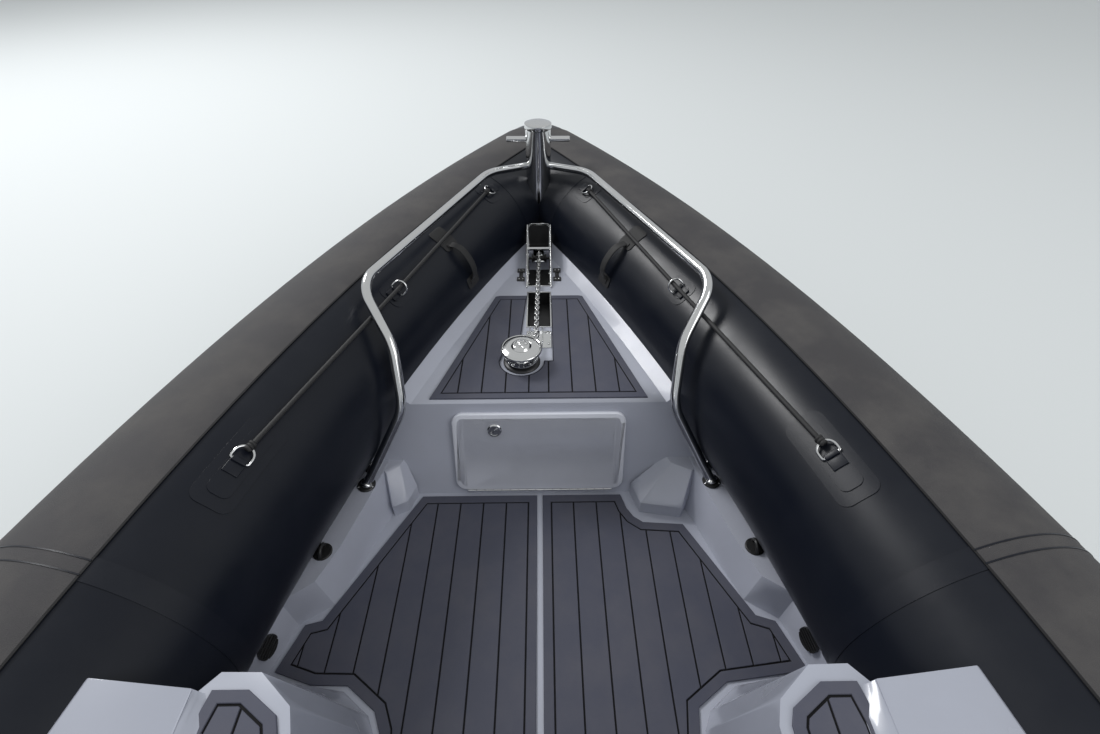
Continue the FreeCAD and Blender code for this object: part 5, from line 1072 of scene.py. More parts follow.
# Anchor chain: short links of polished round bar, each turned a quarter from the last, from the chain
# wheel over the roller and down the hawse.
PITCH, WIRE, LINK_W = 0.0185, 0.003, 0.0204
chain_start = Vector((barrel.x - 0.049, barrel.y - 0.006, WHEEL_Z + FIT + 0.0205))
reach_over = 0.012 + LINK_W / 2 + FIT
down = math.atan(0.587)
level_way = math.atan((chain_start.z - roller_spot.z - reach_over) / (barrel.y - roller_spot.y))
crest = (down + level_way) / 2
over_roller = roller_spot + Vector((0, -math.sin(crest), math.cos(crest))) * reach_over
along_crest = Vector((0, -math.cos(crest), -math.sin(crest)))
back_from, ahead_from = over_roller - along_crest * PITCH / 3, over_roller + along_crest * PITCH / 3
back = chain_start - back_from
count = int(back.length / PITCH - 0.5)
back.normalize()
ahead = Vector((0, -math.cos(down), -math.sin(down)))
link_spots = [(back_from + back * (PITCH * i - PITCH / 3 + FIT), -back, i % 2) for i in range(count, 0, -1)]
link_spots.append((over_roller, along_crest, 0))
link_spots += [(ahead_from + ahead * (PITCH * i - PITCH / 3 + FIT), ahead, i % 2) for i in range(1, 9)]
bend = LINK_W / 2 - WIRE
straight = PITCH / 2 + WIRE + FIT / 2 - bend
bm = bmesh.new()
for spot_at, way, flat in link_spots:
    side = way.cross(UP).normalized()
    if not flat:
        side = way.cross(side)
    up = way.cross(side)
    line = [spot_at + way * (c + bend * math.cos(a)) + side * bend * math.sin(a)
            for c, first in ((straight, -90), (-straight, 90))
            for a in (math.radians(first + 22.5 * k) for k in range(9))]
    closed_pipe(bm, line, [WIRE], 10, up)
show(bm, "anchor_chain", "boat", stainless, ["anchor_chain"], soft_edge=60)

# Small parts of the deck: black hinge pads with two screws each, ribbed drain covers, polished eyes
# and black mooring cleats.
bm, screws = bmesh.new(), bmesh.new()
for y in (-3.2835, -3.2135):
    block(bm, (0.062, y, FOREDECK_Z), (0.095, y + 0.029, 0.5643), rounding=0.0012)
block(bm, (0.070, -3.256, FOREDECK_Z), (0.087, -3.212, 0.5615), rounding=0.0008)
for x in (0.0705, 0.0865):
    for y in (-3.269, -3.199):
        lathe(screws, ((0.0042, 0.0045), (0.0040, 0.0060), (0.0024, 0.0070), (0, 0.0070)),
              moved((x, y, FOREDECK_Z)), 16)
show(bm, "hatch_pads", "boat", black_nylon, ["hatch_pads"], mirror=True)
show(screws, "pad_screws", "boat", stainless, mirror=True)
moulded("drain_covers", "drains", black_nylon, 0.0012)


def deck_eye(bm, spot_at, bend, thick):
    """An upright half ring of bar on a round foot with a raised edge."""
    foot = moved(spot_at)
    wide = bend + thick + 0.003
    lathe(bm, ((0, 0), (wide, 0), (wide, 0.0028), (wide - 0.0015, 0.0046), (wide - 0.005, 0.005),
               (0, 0.0045)), foot, 40)
    line = [spot_at + Vector((0, -bend * math.cos(a), 0.004 + bend * math.sin(a)))
            for a in (math.pi * k / 20 for k in range(21))]
    pipe(bm, line, thick, 18)
    for turn in (45, 135, 225, 315):
        lathe(bm, ((0.0030, 0.0042), (0.0028, 0.0056), (0.0012, 0.0062), (0, 0.0062)),
              foot @ turned(turn, "Z") @ moved((wide - 0.0065, 0, 0)), 12)


for name, y, clear, bend_r, thick, slot_name, material in (
        ("side_eyes", -2.405, 0.034, 0.017, 0.004, "stainless", stainless),
        ("side_cleats", -2.080, 0.042, 0.020, 0.006, "black_plastic", black_nylon)):
    centre, out_way, aft = axis_at(y)
    at = centre - out_way * (under + clear)
    at.z = SHELF_Z
    bm = bmesh.new()
    deck_eye(bm, at, bend_r, thick)
    show(bm, name, "boat", material, [name], soft_edge=45, mirror=True)

# Consoles: one moulding a side, stepped forward, with a raked dash; the windscreen stands on each in
# a bent tube frame with a black seal and clamps.
# The consoles' gelcoat is painted darker and bluer than the deck's: painted shade for the shade the consoles
# stand in, with its bluish cast. The wings share it.
shaded_console_gelcoat = dressed("shaded_console_gelcoat", (0.375, 0.395, 0.465), (0.34, 0.355, 0.41), 0.24, size=2.4,
                          amount=0.45, coat=0.3)
for name, left, right in (("port", 0.61, 0.80), ("starboard", -0.80, -0.61)):
    moulded(f"console_{name}_moulding", f"console_{name}", shaded_console_gelcoat, 0.008,
            moves=(((left, -1.52, 0.3), (right, -1.49, 0.9), (0, 0.020, 0)),))
bm = bmesh.new()
WING_Z, WING_DROP = 0.808, 0.022
flank = math.sqrt(TUBE ** 2 - (WING_Z - AXIS_Z) ** 2) + 0.005
low_flank = math.sqrt(TUBE ** 2 - (WING_Z - WING_DROP - AXIS_Z) ** 2) + 0.005
# The wing's section from the step up to its own level: off the centreline, height against the wing's.
COVE = ((0.552, -0.030), (0.553, -0.0232), (0.564, -0.0205), (0.578, -0.0135), (0.591, -0.0050),
        (0.606, 0.0004))
loops = []
for y in [-1.505, -1.430] + stations(-1.38, -0.20, 0.12) + [-0.155]:
    x, low_x = axis_at(y)[0].x - flank, axis_at(y)[0].x - low_flank
    if y < -1.5:
        rise = [Vector((0.584 + 0.004 * k, y + 0.020, WING_Z + z)) for k, (_, z) in enumerate(COVE)]
    else:
        rise = [Vector((inside, y, WING_Z + z)) for inside, z in COVE]
    loops.append(hoop(bm, rise + [Vector((x - 0.006, y, WING_Z + 0.0004)), Vector((x, y, WING_Z - 0.004)),
                                  Vector((low_x, y, WING_Z - WING_DROP)),
                                  Vector((low_x - 0.05, y, WING_Z - 0.030))]))
bridge(bm, loops)
show(bm, "console_wings", "boat", shaded_console_gelcoat, mirror=True, soft_edge=30, bevel=0.0015)
alloy = dressed("alloy_frame", (0.022, 0.022, 0.024), (0.034, 0.034, 0.036), 0.36, size=9, grains=900,
                depth=0.12, coat=0.2)
glass = finish("tinted_glass", (0.70, 0.76, 0.78), 0.02, specular=0.5)
shader = glass.node_tree.nodes["Principled BSDF"]
shader.inputs["Transmission Weight"].default_value = 1.0
shader.inputs["IOR"].default_value = 1.45
dust = add(glass.node_tree, "TexNoise", Scale=9.0, Detail=6.0)
coords = add(glass.node_tree, "TexCoord")
haze = add(glass.node_tree, "MapRange", From_Min=0.45, To_Min=0.015, To_Max=0.09)
linked(glass.node_tree, (coords.outputs["Object"], dust.inputs["Vector"]),
       (dust.outputs["Fac"], haze.inputs["Value"]), (haze.outputs[0], shader.inputs["Roughness"]))
SCREEN_RUN, SCREEN_RISE = 0.250, 0.430
rake = Vector((0, SCREEN_RUN, SCREEN_RISE)).normalized()
tilt = math.atan2(SCREEN_RUN, SCREEN_RISE)
PANE_X, PANE_W = 0.446, 0.3161
frames, seals = bmesh.new(), bmesh.new()
foot = Vector((PANE_X, -0.681, 1.338))
side_step = Vector((PANE_W, 0, 0))
pipe(frames, rounded_line([foot - rake * 0.004, foot + rake * 0.442, foot + rake * 0.442 + side_step,
                           foot + side_step - rake * 0.004],
                          [0.045, 0.045], math.radians(4)), 0.011, 24)
for corner in (foot, foot + side_step):
    block(frames, (-0.020, -0.026, -0.004), (0.020, 0.026, 0.006), moved(corner + Vector((0, 0.012, 0.004)))
          @ turned(2.7, "X"), 0.002)
pane_at = moved((PANE_X + 0.0113, -0.685, 1.338)) @ moved(rake * 0.006) @ Matrix.Rotation(-tilt, 4, "X")
pane_wide, pane_tall, pane_round = PANE_W - 0.0226, 0.422, 0.036
arc = [(pane_round * math.cos(a), pane_round * math.sin(a))
       for a in (math.pi / 2 * k / 10 for k in range(11))]
outline = ([(0, 0), (pane_wide, 0)]
           + [(pane_wide - pane_round + x, pane_tall - pane_round + z) for x, z in arc]
           + [(pane_round - z, pane_tall - pane_round + x) for x, z in arc])
for name, sign in PORT_AND_STARBOARD:
    pane = bmesh.new()
    bridge(pane, [hoop(pane, [pane_at @ Vector((x, y, z)) for x, z in outline]) for y in (0, 0.008)])
    if sign < 0:
        to_starboard(pane)
    show(pane, f"windscreen_{name}", "boat", glass, [f"windscreen_{name}"], soft_edge=30)
seal_line = [pane_at @ Vector((x, 0.004, z)) for x, z in inset_line(outline, 0.001)]
closed_pipe(seals, seal_line, [0.0055], 8, (pane_at.to_3x3() @ Vector((0, 1, 0))).normalized())
show(frames, "windscreen_frames", "boat", alloy, ["windscreen_frames"], mirror=True,
     soft_edge=50)
show(seals, "windscreen_seals", "boat", strake_rubber, mirror=True, soft_edge=60)

# Grab rails: bent stainless tube on the forward face of each console, with a round flange at each end.
GRAB_Z, GRAB_X, GRAB_FAR_X = 1.058, 0.466, 0.7461
lean_in = 0.090 / (1.350 - 0.060 - WING_Z + 0.005)
face_y = -0.850 + (GRAB_Z - WING_Z) * lean_in
bm = bmesh.new()
corners = ((GRAB_X, face_y + 0.004), (GRAB_X, -0.883), (GRAB_FAR_X, -0.883), (GRAB_FAR_X, face_y + 0.004))
pipe(bm, rounded_line([Vector((x, y, GRAB_Z)) for x, y in corners], [0.040, 0.040], math.radians(4)), 0.013,
     24)
face_at = Matrix.Rotation(math.radians(90) - math.atan(lean_in), 4, "X")
for x in (GRAB_X, GRAB_FAR_X):
    lathe(bm, ((0.0128, -0.002), (0.0245, -0.002), (0.0245, 0.002), (0.022, 0.0045), (0.0155, 0.006),
               (0.0128, 0.010)),
          moved((x, face_y - 0.0012, GRAB_Z)) @ face_at, 32)
show(bm, "grab_rails", "boat", stainless, ["grab_rails"], mirror=True, soft_edge=50)

# Helm: a polished wheel with a padded rim, three spokes and a domed cap over its shaft.
HELM = Vector((-0.631579, -0.269067, 1.302823))
dash_turn = math.atan2(0.200, 0.230)
helm_at = moved(HELM) @ Matrix.Rotation(-dash_turn, 4, "X")
bm, rim = bmesh.new(), bmesh.new()
lathe(bm, ((0, -0.0697), (0.034, -0.0697), (0.034, -0.060), (0.024, -0.052), (0.022, -0.020),
           (0.034, -0.010), (0.034, 0.002), (0.031, 0.007), (0.022, 0.010), (0, 0.010)), helm_at, 56)
for turn in (90, 210, 330):
    spoke_at = helm_at @ turned(turn, "Z")
    pipe(bm, [spoke_at @ Vector((x, 0, z)) for x, z in ((0.018, -0.006), (0.06, -0.0045), (0.11, -0.002),
                                                        (0.150, 0))],
         0.008, 18, squash=0.62)
show(bm, "helm_wheel", "helm", stainless, ["helm_wheel"], soft_edge=45)
rim_line = [helm_at @ Vector((0.157 * math.cos(a), 0.157 * math.sin(a), 0)) for a in round_angles(96)]
closed_pipe(rim, rim_line, [0.0121, 0.013, 0.013, 0.013], 20, (helm_at.to_3x3() @ UP).normalized())
seat_vinyl = dressed("seat_vinyl", (0.060, 0.060, 0.068), (0.085, 0.084, 0.092), 0.46, size=10, grains=420,
                     depth=0.35, distance=0.0006, specular=0.4)
show(rim, "wheel_grip", "helm", seat_vinyl, soft_edge=60)

# Instruments: a black panel a side with round gauges behind bright bezels, and a row of rockers.
panel_gloss = dressed("panel_gloss", (0.010, 0.010, 0.011), (0.016, 0.016, 0.017), 0.16, size=30, coat=0.5)
panels, bezels, dials = bmesh.new(), bmesh.new(), bmesh.new()
for x, wide, rockers, gauges in (
        # middle and width of the panel, how many rockers, then place and radius of each gauge
        (HELM.x - 0.097, 0.110, 3, ((0, 0.028, 0.034),)),
        (-HELM.x, 0.190, 4, ((-0.044, 0.020, 0.036), (0.044, 0.020, 0.036)))):
    at = moved((x, -0.315, 1.250)) @ Matrix.Rotation(-dash_turn, 4, "X")
    edge_line = rounded_square(wide / 2, -0.075, 0.075, 0.010)
    bridge(panels, [hoop(panels, [at @ Vector((u, v, h)) for u, v in inset_line(edge_line, by)])
                    for h, by in ((0.0003, 0), (0.0108, 0), (0.0123, 0.0015))])
    for u, v, r in gauges:
        gauge = at @ moved((u, v, 0.012))
        lathe(bezels, ((r - 0.006, 0.0006), (r - 0.005, 0.0030), (r - 0.002, 0.0040), (r, 0.0030), (r, 0)),
              gauge, 56)
        lathe(dials, ((0, 0.0010), (r - 0.005, 0.0010)), gauge, 56)
        for k in range(11):
            turn = gauge @ turned(225 - 27 * k, "Z")
            block(bezels, (r - 0.011, -0.0005, 0.0010), (r - 0.0065, 0.0005, 0.0013), turn)
        block(bezels, (-0.004, -0.0008, 0.0013), (r - 0.012, 0.0008, 0.0017), gauge @ turned(205, "Z"))
    for k in range(rockers):
        u = (k - (rockers - 1) / 2) * 0.030
        block(panels, (u - 0.0105, -0.058, 0.0120), (u + 0.0105, -0.024, 0.0150), at, 0.0015)
        block(bezels, (u - 0.0075, -0.046, 0.0148), (u + 0.0075, -0.036, 0.0162),
              at @ Matrix.Rotation(0.03, 4, "X"), 0.0012)
show(panels, "instrument_panel", "boat", panel_gloss, ["instrument_panel"])
show(bezels, "gauge_bezels", "boat", stainless, soft_edge=45)
show(dials, "gauge_dials", "boat", black_nylon)

# Throttle: a black binnacle with a bright lever and a soft cross handle.
top_lean = math.atan2(0.020, 0.270)
throttle_at = moved((-0.478, -0.500, 1.350 - 0.070 * math.tan(top_lean))) @ Matrix.Rotation(top_lean, 4, "X")
bm, lever = bmesh.new(), bmesh.new()
block(bm, (-0.028, -0.050, 0.0003), (0.028, 0.050, 0.026), throttle_at, 0.008)
lean_at = Vector((0, -0.25, 1)).normalized()
pipe(lever, [throttle_at @ (Vector((0, 0, 0.016)) + lean_at * s) for s in (0, 0.030, 0.060, 0.085, 0.110)],
     0.010, 20, squash=0.8)
lathe(bm, ((0, 0), (0.011, 0), (0.014, 0.003), (0.0135, 0.035), (0.014, 0.067), (0.011, 0.070), (0, 0.070)),
      throttle_at @ moved((-0.035, -0.027, 0.122)) @ turned(90, "Y"), 32)
show(bm, "throttle", "boat", black_nylon, ["throttle"], soft_edge=40)
show(lever, "throttle_lever", "boat", stainless, soft_edge=50)

# Seat mouldings: a pedestal a side for the helm places, a bench across the stern and the swim platforms.
# The pedestals and bench wear the consoles' gelcoat with its painted shade; the platforms wear the deck's,
# with its painted bluish cast.
for name, _ in PORT_AND_STARBOARD:
    moulded(f"seat_base_{name}_moulding", f"seat_base_{name}", shaded_console_gelcoat, 0.006)
moulded("bench_moulding", "bench_base", shaded_console_gelcoat, 0.006)
moulded("platform_mouldings", "swim_platforms", deck_gelcoat, 0.006)

# Cushions: foam blocks in sewn vinyl covers. Each cover is let settle over its foam by a cloth run,
# then gets the piping that its seams are sewn with.
def cushion(low, high, corner):
    """A rounded box of fine faces, the cover of a cushion before it settles."""
    made = bmesh.new()
    span = [high[k] - low[k] for k in range(3)]
    mid = Vector([(high[k] + low[k]) / 2 for k in range(3)])
    half = Vector(span) / 2
    cuts = [max(4, round(span[k] / 0.022)) for k in range(3)]
    index = {}
    for axis in range(3):
        u, v = [k for k in range(3) if k != axis]
        for side in (-1, 1):
            for i in range(cuts[u]):
                for j in range(cuts[v]):
                    corners = []
                    for di, dj in ((0, 0), (1, 0), (1, 1), (0, 1)):
                        key = [0, 0, 0]
                        key[axis] = cuts[axis] if side > 0 else 0
                        key[u], key[v] = i + di, j + dj
                        key = tuple(key)
                        if key not in index:
                            spot_at = Vector([-half[k] + span[k] * key[k] / cuts[k] for k in range(3)])
                            core = Vector([max(-half[k] + corner, min(half[k] - corner, spot_at[k]))
                                           for k in range(3)])
                            away = spot_at - core
                            if away.length > corner:
                                spot_at = core + away.normalized() * corner
                            index[key] = made.verts.new(mid + spot_at)
                        corners.append(index[key])
                    made.faces.new(corners)
    return made


def settled(item, frames, pressure, reach):
    """Runs the cloth of a cover for some frames and keeps what it comes to, no point further than reach."""
    cover = item.modifiers.new("cover", "CLOTH")
    cloth = cover.settings
    cloth.quality, cloth.mass, cloth.air_damping = 6, 0.4, 3.0
    cloth.tension_stiffness = cloth.compression_stiffness = 40
    cloth.bending_stiffness = 3.0
    cloth.use_pressure, cloth.uniform_pressure_force = True, pressure
    cloth.shrink_min = -0.012
    cloth.vertex_group_mass = "seam"
    cloth.pin_stiffness = 1.0
    cloth.effector_weights.gravity = 0.3
    scene = bpy.context.scene
    cover.point_cache.frame_start, cover.point_cache.frame_end = 1, frames
    for frame_number in range(1, frames + 1):
        scene.frame_set(frame_number)
    graph = bpy.context.evaluated_depsgraph_get()
    after = [vert.co.copy() for vert in item.evaluated_get(graph).data.vertices]
    item.modifiers.remove(cover)
    for vert, spot_at in zip(item.data.vertices, after):
        way = spot_at - vert.co
        vert.co += way * min(1.0, reach / max(way.length, 1e-6))
    item.data.update()
    scene.frame_set(1)


def padded_seat(name, node, low, high, corner):
    """A cushion on the boat, pinned along its foot and its seams, settled and made finer."""
    item = show(cushion(low, high, corner), name, "boat", seat_vinyl, [node], soft_edge=80)
    seam = item.vertex_groups.new(name="seam")
    pins = []
    for vert in item.data.vertices:
        spot_at = vert.co
        foot = spot_at.z - low[2] < 0.006
        edge = sum(1 for k in range(3) if min(spot_at[k] - low[k], high[k] - spot_at[k]) < corner * 0.45)
        if foot or edge >= 2:
            pins.append(vert.index)
    seam.add(pins, 1.0, "REPLACE")
    settled(item, 14, 2.2, 0.009)
    made_finer(item)


def piping(bm, low, high, corner, axis, at):
    """Round cord sewn in a loop about a cushion, square to one axis."""
    u, v = [k for k in range(3) if k != axis]
    line = []
    tuck = corner * 0.95
    for cx, cy, start in ((high[u] - tuck, high[v] - tuck, 0), (low[u] + tuck, high[v] - tuck, 90),
                          (low[u] + tuck, low[v] + tuck, 180), (high[u] - tuck, low[v] + tuck, 270)):
        for k in range(7):
            angle = math.radians(start + 15 * k)
            spot_at = Vector((0, 0, 0))
            spot_at[axis] = at
            spot_at[u] = cx + (tuck - 0.0008) * math.cos(angle)
            spot_at[v] = cy + (tuck - 0.0008) * math.sin(angle)
            line.append(spot_at)
    up = Vector((0, 0, 0))
    up[axis] = 1
    closed_pipe(bm, line, [0.0026], 10, up)


cords = bmesh.new()
for name, sign in PORT_AND_STARBOARD:
    left, right = (0.428, 0.868) if sign > 0 else (-0.868, -0.428)
    for part, low, high, corner, axis, inset in (
            ("seat", (left, 0.300, 0.8306), (right, 0.668, 0.9506), 0.035, 2, 0.018),
            ("back", (left, 0.660, 0.8306), (right, 0.790, 1.3506), 0.040, 1, 0.022)):
        padded_seat(f"{part}_cushion_{name}_cover", f"seat_cushion_{name}", low, high, corner)
        for at in (low[axis] + inset, high[axis] - inset):
            piping(cords, low, high, corner, axis, at)
for part, low, high, corner, axis in (
        ("seat", (-0.700, 2.330, 0.5606), (0.700, 2.792, 0.6806), 0.035, 2),
        ("back", (-0.700, 2.780, 0.5606), (0.700, 2.930, 1.0006), 0.040, 1)):
    thirds = [low[0] + (high[0] - low[0]) * k / 3 for k in range(4)]
    for k, (left, right) in enumerate(zip(thirds, thirds[1:])):
        padded_seat(f"bench_{part}_{k}", "bench_cushion", (left + 0.0005, low[1], low[2]),
                    (right - 0.0005, high[1], high[2]), corner)
        for at in (low[axis] + 0.020, high[axis] - 0.020):
            piping(cords, (left, low[1], low[2]), (right, high[1], high[2]), corner, axis, at)
show(cords, "cushion_piping", "boat", seat_vinyl, soft_edge=60)

# Stern arch: bent and welded alloy tube with a cross tube, round foot plates and four bolts in each.
half_arch = [Vector((0.830, 3.420, SHELF_Z)), Vector((0.830, 3.300, 1.500)), Vector((0.720, 3.150, 2.150))]
arch_points = half_arch + [Vector((-p.x, p.y, p.z)) for p in half_arch[::-1]]
CROSS_Y, CROSS_Z = 3.194, 1.960
bm, bolts = bmesh.new(), bmesh.new()
pipe(bm, rounded_line(arch_points, [0.18] * 4, math.radians(3)), 0.038, 40)
pipe(bm, [Vector((x, CROSS_Y, CROSS_Z)) for x in (-0.762, -0.3, 0.3, 0.762)], 0.022, 28)
for sign in (1, -1):
    at = moved((sign * 0.830, 3.420, SHELF_Z))
    lathe(bm, ((0.02, 0), (0.056, 0), (0.056, 0.008), (0.054, 0.010), (0.041, 0.010), (0.0385, 0.014)), at,
          56)
    for k in range(4):
        lathe(bolts, ((0.0065, 0), (0.0065, 0.0045), (0.0055, 0.0055), (0, 0.0055)),
              at @ turned(45 + 90 * k, "Z") @ moved((0.0475, 0, 0.0098)), 6)
    lathe(bm, ((0.0215, 0), (0.026, 0), (0.026, 0.006), (0.0225, 0.010)),
          moved((sign * 0.7665, CROSS_Y, CROSS_Z)) @ turned(-90 * sign, "Y"), 28)
show(bm, "arch", "boat", alloy, ["arch"], soft_edge=45)
show(bolts, "arch_bolts", "boat", stainless)

# Navigation light: a white plastic mast with a ribbed clear lens over a lamp, on top of the arch.
lamp_white = dressed("lamp_white", (0.55, 0.55, 0.54), (0.48, 0.48, 0.47), 0.3, size=30, coat=0.2)
light_at = moved((0, 3.150, 2.1883))
bm = bmesh.new()
lathe(bm, ((0, 0), (0.026, 0), (0.026, 0.009), (0.023, 0.0125), (0.015, 0.016), (0.014, 0.020),
           (0.014, 0.088), (0.024, 0.094), (0.024, 0.098), (0.019, 0.098), (0.019, 0.1005), (0, 0.1005)),
      light_at, 48)
lathe(bm, ((0, 0.1335), (0.019, 0.1335), (0.0245, 0.1340), (0.0240, 0.1365), (0.0165, 0.1415), (0, 0.142)),
      light_at, 48)
show(bm, "nav_light", "boat", lamp_white, ["nav_light"], soft_edge=40)
bm = bmesh.new()
ridges = [(0.0205 + 0.0012 * (k % 2), 0.0990 + 0.0016 * k) for k in range(22)]
lathe(bm, [(0.017, 0.0990)] + ridges + [(0.017, ridges[-1][1])], light_at, 48)
show(bm, "nav_lens", "boat", glass, soft_edge=60)
bm = bmesh.new()
lathe(bm, ((0, 0.1005), (0.006, 0.1005), (0.006, 0.116), (0.003, 0.121), (0, 0.122)), light_at, 24)
show(bm, "nav_lamp", "boat", lamp_white)

# Cleats and fuel filler of the after shelves, cast and polished. Each cleat's horns taper to round
# ends, and the filler's cap has its slot and three screws.
HORN = 0.105
bm = bmesh.new()
for sign in (1, -1):
    at = moved((sign * 0.828, 3.670, SHELF_Z))
    block(bm, (-0.020, -0.062, 0), (0.020, 0.062, 0.006), at, 0.0022)
    for dy in (-0.038, 0.038):
        lathe(bm, ((0.017, 0), (0.0160, 0.006), (0.0115, 0.014), (0.0095, 0.024), (0.0100, 0.034)),
              at @ moved((0, dy, 0)), 28)
    loops = []
    for k in range(25):
        y = HORN * (k / 12 - 1)
        share = abs(y) / HORN
        r = 0.009 * math.sqrt(max(0.03, 1 - max(0.0, (share - 0.80) / 0.20) ** 2)) * (1.0 - 0.12 * share)
        middle_at = Vector((0, y, 0.038 + 0.001 * share))
        loops.append(hoop(bm, [at @ p for p in circle(middle_at, Vector((1, 0, 0)), UP, r, 20)]))
    bridge(bm, loops)
show(bm, "stern_cleats", "boat", stainless, ["stern_cleats"], soft_edge=45)
bm = bmesh.new()
filler_at = moved((0.620, 3.580, SHELF_Z))
lathe(bm, ((0, 0), (0.042, 0), (0.042, 0.003), (0.040, 0.0052), (0.0375, 0.0068), (0.0310, 0.0072),
           (0.0295, 0.0062), (0.0290, 0.0050), (0.0275, 0.0062), (0.0262, 0.0068), (0, 0.0068)), filler_at,
      64)
block(bm, (-0.019, -0.0030, 0.0062), (0.019, 0.0030, 0.0092), filler_at @ Matrix.Rotation(0.5, 4, "Z"),
      0.0012)
for k in range(3):
    lathe(bm, ((0.0028, 0.006), (0.0025, 0.0082), (0, 0.0086)), filler_at @ turned(120 * k, "Z")
          @ moved((0.0352, 0, 0)), 12)
show(bm, "fuel_filler", "boat", stainless, ["fuel_filler"], soft_edge=40)

# Outboard engine: cast bracket and swivel, a painted leg, and a two-part moulded cowl parted by a seal.
engine_alloy = dressed("engine_alloy", (0.040, 0.042, 0.046), (0.055, 0.057, 0.060), 0.34, size=6,
                       amount=0.5, grains=700, depth=0.12, coat=0.25)
engine_paint = dressed("engine_paint", (0.032, 0.034, 0.038), (0.044, 0.046, 0.050), 0.16, size=4,
                       amount=0.35, coat=0.8)
moulded("bracket_casting", "engine_bracket", engine_alloy, 0.004)
moulded("swivel_casting", "engine_swivel", engine_alloy, 0.003)
moulded("leg_casting", "engine_leg", engine_alloy, 0.005)
ENGINE_Y = 4.100
COWL = (
    # height, front, half width at the front, at the middle and at the back, back
    (0.520, -0.060, 0.120, 0.190, 0.130, 0.480),
    (0.575, -0.100, 0.165, 0.240, 0.170, 0.560),
    (0.640, -0.118, 0.185, 0.268, 0.190, 0.610),
    (0.860, -0.122, 0.190, 0.280, 0.200, 0.645),
    (1.030, -0.105, 0.170, 0.258, 0.188, 0.640),
    (1.125, -0.062, 0.137, 0.217, 0.157, 0.602),
    (1.170, 0.005, 0.095, 0.155, 0.110, 0.525),
)


def smoothed(rows, share):
    """The row of numbers at a share of the way along, curved through all the rows."""
    place = share * (len(rows) - 1)
    k = min(int(place), len(rows) - 2)
    t = place - k
    a, b, c, d = rows[max(k - 1, 0)], rows[k], rows[k + 1], rows[min(k + 2, len(rows) - 1)]
    return [0.5 * (2 * q + (r - p) * t + (2 * p - 5 * q + 4 * r - s) * t * t
                   + (3 * q - p - 3 * r + s) * t ** 3)
            for p, q, r, s in zip(a, b, c, d)]


def cowl_ring(share, grow=0.0):
    """One closed outline of the cowl, curved through its corner points, drawn in or out a little."""
    level, front, front_half, middle, back_half, rear = smoothed(COWL, share)
    half = [(0, front - 0.006), (front_half * 0.55, front), (front_half, front + 0.040),
            (middle * 0.94, 0.070), (middle, 0.220), (middle * 0.94, 0.370), (back_half, rear - 0.070),
            (back_half * 0.6, rear), (0, rear)]
    spots = []
    for k in range(33):
        x, y = smoothed(half, k / 32)
        spots.append(Vector((max(0, x), y + ENGINE_Y, level)))
    outline = spots + [Vector((-p.x, p.y, p.z)) for p in spots[-2:0:-1]]
    middle_at = Vector((0, ENGINE_Y + (front + rear) / 2, level))
    return [p + (p - middle_at).normalized() * grow for p in outline]


# The pan's last ring and the cowl's first are drawn in a little where they meet the seal.
LIP = -0.003
bm = bmesh.new()
bridge(bm, [hoop(bm, cowl_ring(0.34 * k / 28, LIP if k == 28 else 0.0)) for k in range(29)])
show(bm, "engine_pan", "engine", engine_alloy, ["engine_cowl"], soft_edge=30)
bm = bmesh.new()
loops = [hoop(bm, cowl_ring(0.352 + 0.648 * k / 28, 0.0 if k else LIP)) for k in range(29)]
shoulder = cowl_ring(1.0)
middle_at = sum(shoulder, Vector()) / len(shoulder)
for share, lift in ((0.90, 0.0035), (0.78, 0.0060), (0.62, 0.0078), (0.44, 0.0089), (0.25, 0.0096),
                    (0.08, 0.0099)):
    loops.append(hoop(bm, [middle_at + (p - middle_at) * share + UP * lift for p in shoulder]))
bridge(bm, loops)
show(bm, "engine_cowl", "engine", engine_paint, ["engine_cowl"], soft_edge=30)
bm = bmesh.new()
bridge(bm, [hoop(bm, cowl_ring(0.335 + 0.022 * k / 3, -0.0035)) for k in range(4)])
show(bm, "cowl_seal", "engine", strake_rubber)
bm = bmesh.new()
for k in range(5):
    z = 1.035 - 0.026 * k
    for sign in (1, -1):
        block(bm, (sign * 0.040, ENGINE_Y + 0.628, z), (sign * 0.135, ENGINE_Y + 0.6455, z + 0.010),
              rounding=0.002)
show(bm, "cowl_louvres", "engine", black_nylon)
bm = bmesh.new()
at = moved((0, ENGINE_Y - 0.118, 0.690))
block(bm, (-0.050, -0.012, -0.018), (0.050, 0.006, 0.018), at, 0.006)
block(bm, (-0.034, -0.016, -0.008), (0.034, -0.008, 0.008), at, 0.003)
show(bm, "cowl_latch", "engine", black_nylon)

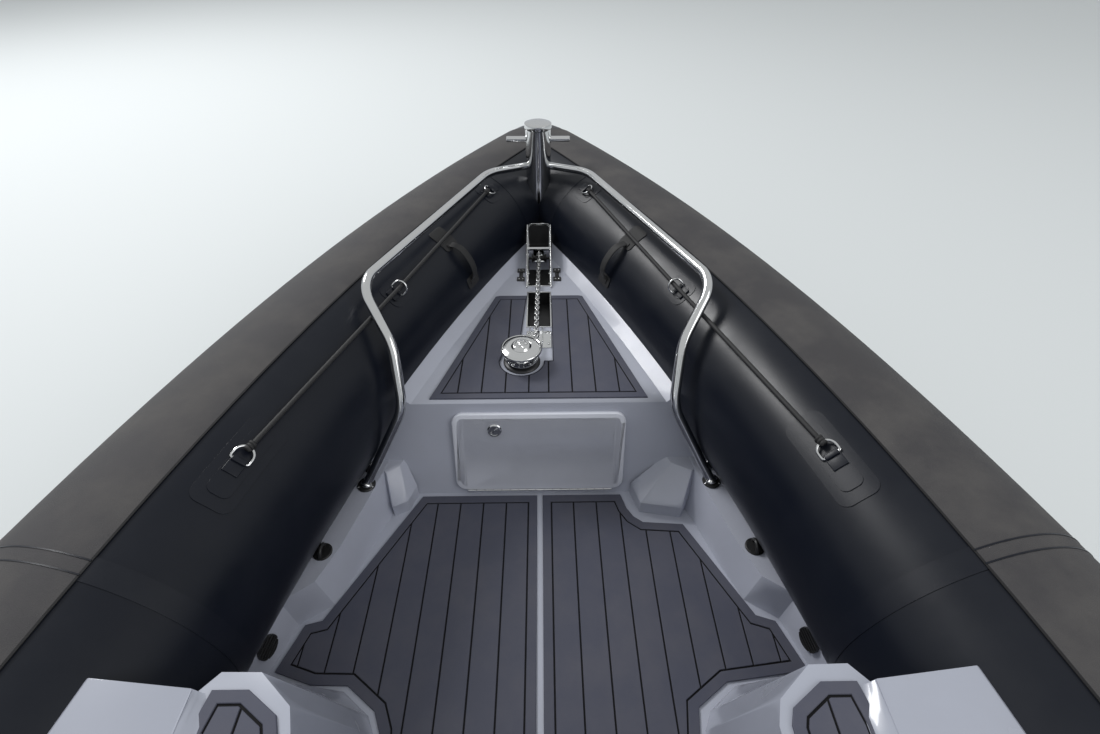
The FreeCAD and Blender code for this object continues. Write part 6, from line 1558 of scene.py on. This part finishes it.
# Propeller: polished steel, a hub and three twisted blades with cupped edges, held by a nut.
PROP_R, ROOT_R = 0.195, 0.048
BLADE = (
    # share of the way out, half chord, half thickness, pitch
    (0.0, 0.044, 0.007, 58), (0.22, 0.062, 0.006, 47), (0.45, 0.070, 0.005, 38), (0.65, 0.071, 0.0042, 32),
    (0.8, 0.066, 0.0035, 27), (0.93, 0.050, 0.0028, 24), (1.0, 0.034, 0.002, 22),
)
prop_at = moved((0, 4.5303, -0.640)) @ turned(-90, "X")
bm = bmesh.new()
lathe(bm, ((0, 0), (0.052, 0), (0.0575, 0.004), (0.060, 0.014), (0.060, 0.112), (0.058, 0.121),
           (0.048, 0.137), (0.044, 0.140), (0.026, 0.140), (0.026, 0.138), (0, 0.138)), prop_at, 64)
lathe(bm, ((0.019, 0.130), (0.019, 0.1395), (0.0165, 0.140), (0, 0.140)), prop_at, 6)
for blade in range(3):
    turn = prop_at @ turned(120 * blade, "Z")
    loops = []
    for k in range(19):
        share, chord, thick, pitch = smoothed(BLADE, k / 18)
        out = ROOT_R + share * (PROP_R - ROOT_R)
        swing = math.radians(90 - pitch)
        ring = []
        for a in round_angles(24):
            u, v = chord * math.cos(a), thick * math.sin(a) * (1 - 0.3 * math.cos(a))
            ring.append(turn @ Vector((out, u * math.cos(swing) - v * math.sin(swing),
                                       0.070 + u * math.sin(swing) + v * math.cos(swing))))
        loops.append(hoop(bm, ring))
    bridge(bm, loops)
show(bm, "propeller", "prop", stainless, ["propeller"], soft_edge=40)

# Boarding ladder: two stainless rails that turn on lugs of the starboard platform, with ribbed treads.
bm, treads = bmesh.new(), bmesh.new()
HINGE_Y, HINGE_Z, NEAR_X, FAR_X = 4.348, 0.172, -0.500, -0.740
for x in (NEAR_X, FAR_X):
    pipe(bm, [Vector((x, y, HINGE_Z)) for y in (HINGE_Y, 4.2, 4.05, 3.966, 3.960)], 0.011, 24)
    lathe(bm, ((0, 0), (0.0105, 0), (0.012, 0.0015), (0.012, 0.0225), (0.0105, 0.024), (0, 0.024)),
          moved((x - 0.012, HINGE_Y, HINGE_Z)) @ turned(90, "Y"), 28)
for k in range(3):
    y = 3.990 + 0.120 * k
    block(treads, (FAR_X, y, HINGE_Z - 0.008), (NEAR_X, y + 0.050, HINGE_Z + 0.008), rounding=0.002)
    for n in range(4):
        rib = y + 0.007 + 0.011 * n
        block(treads, (-0.722, rib, HINGE_Z + 0.007), (-0.518, rib + 0.004, HINGE_Z + 0.0095), rounding=0.001)
show(bm, "ladder", "ladder", stainless, ["ladder"], soft_edge=50)
show(treads, "ladder_treads", "ladder", black_nylon)
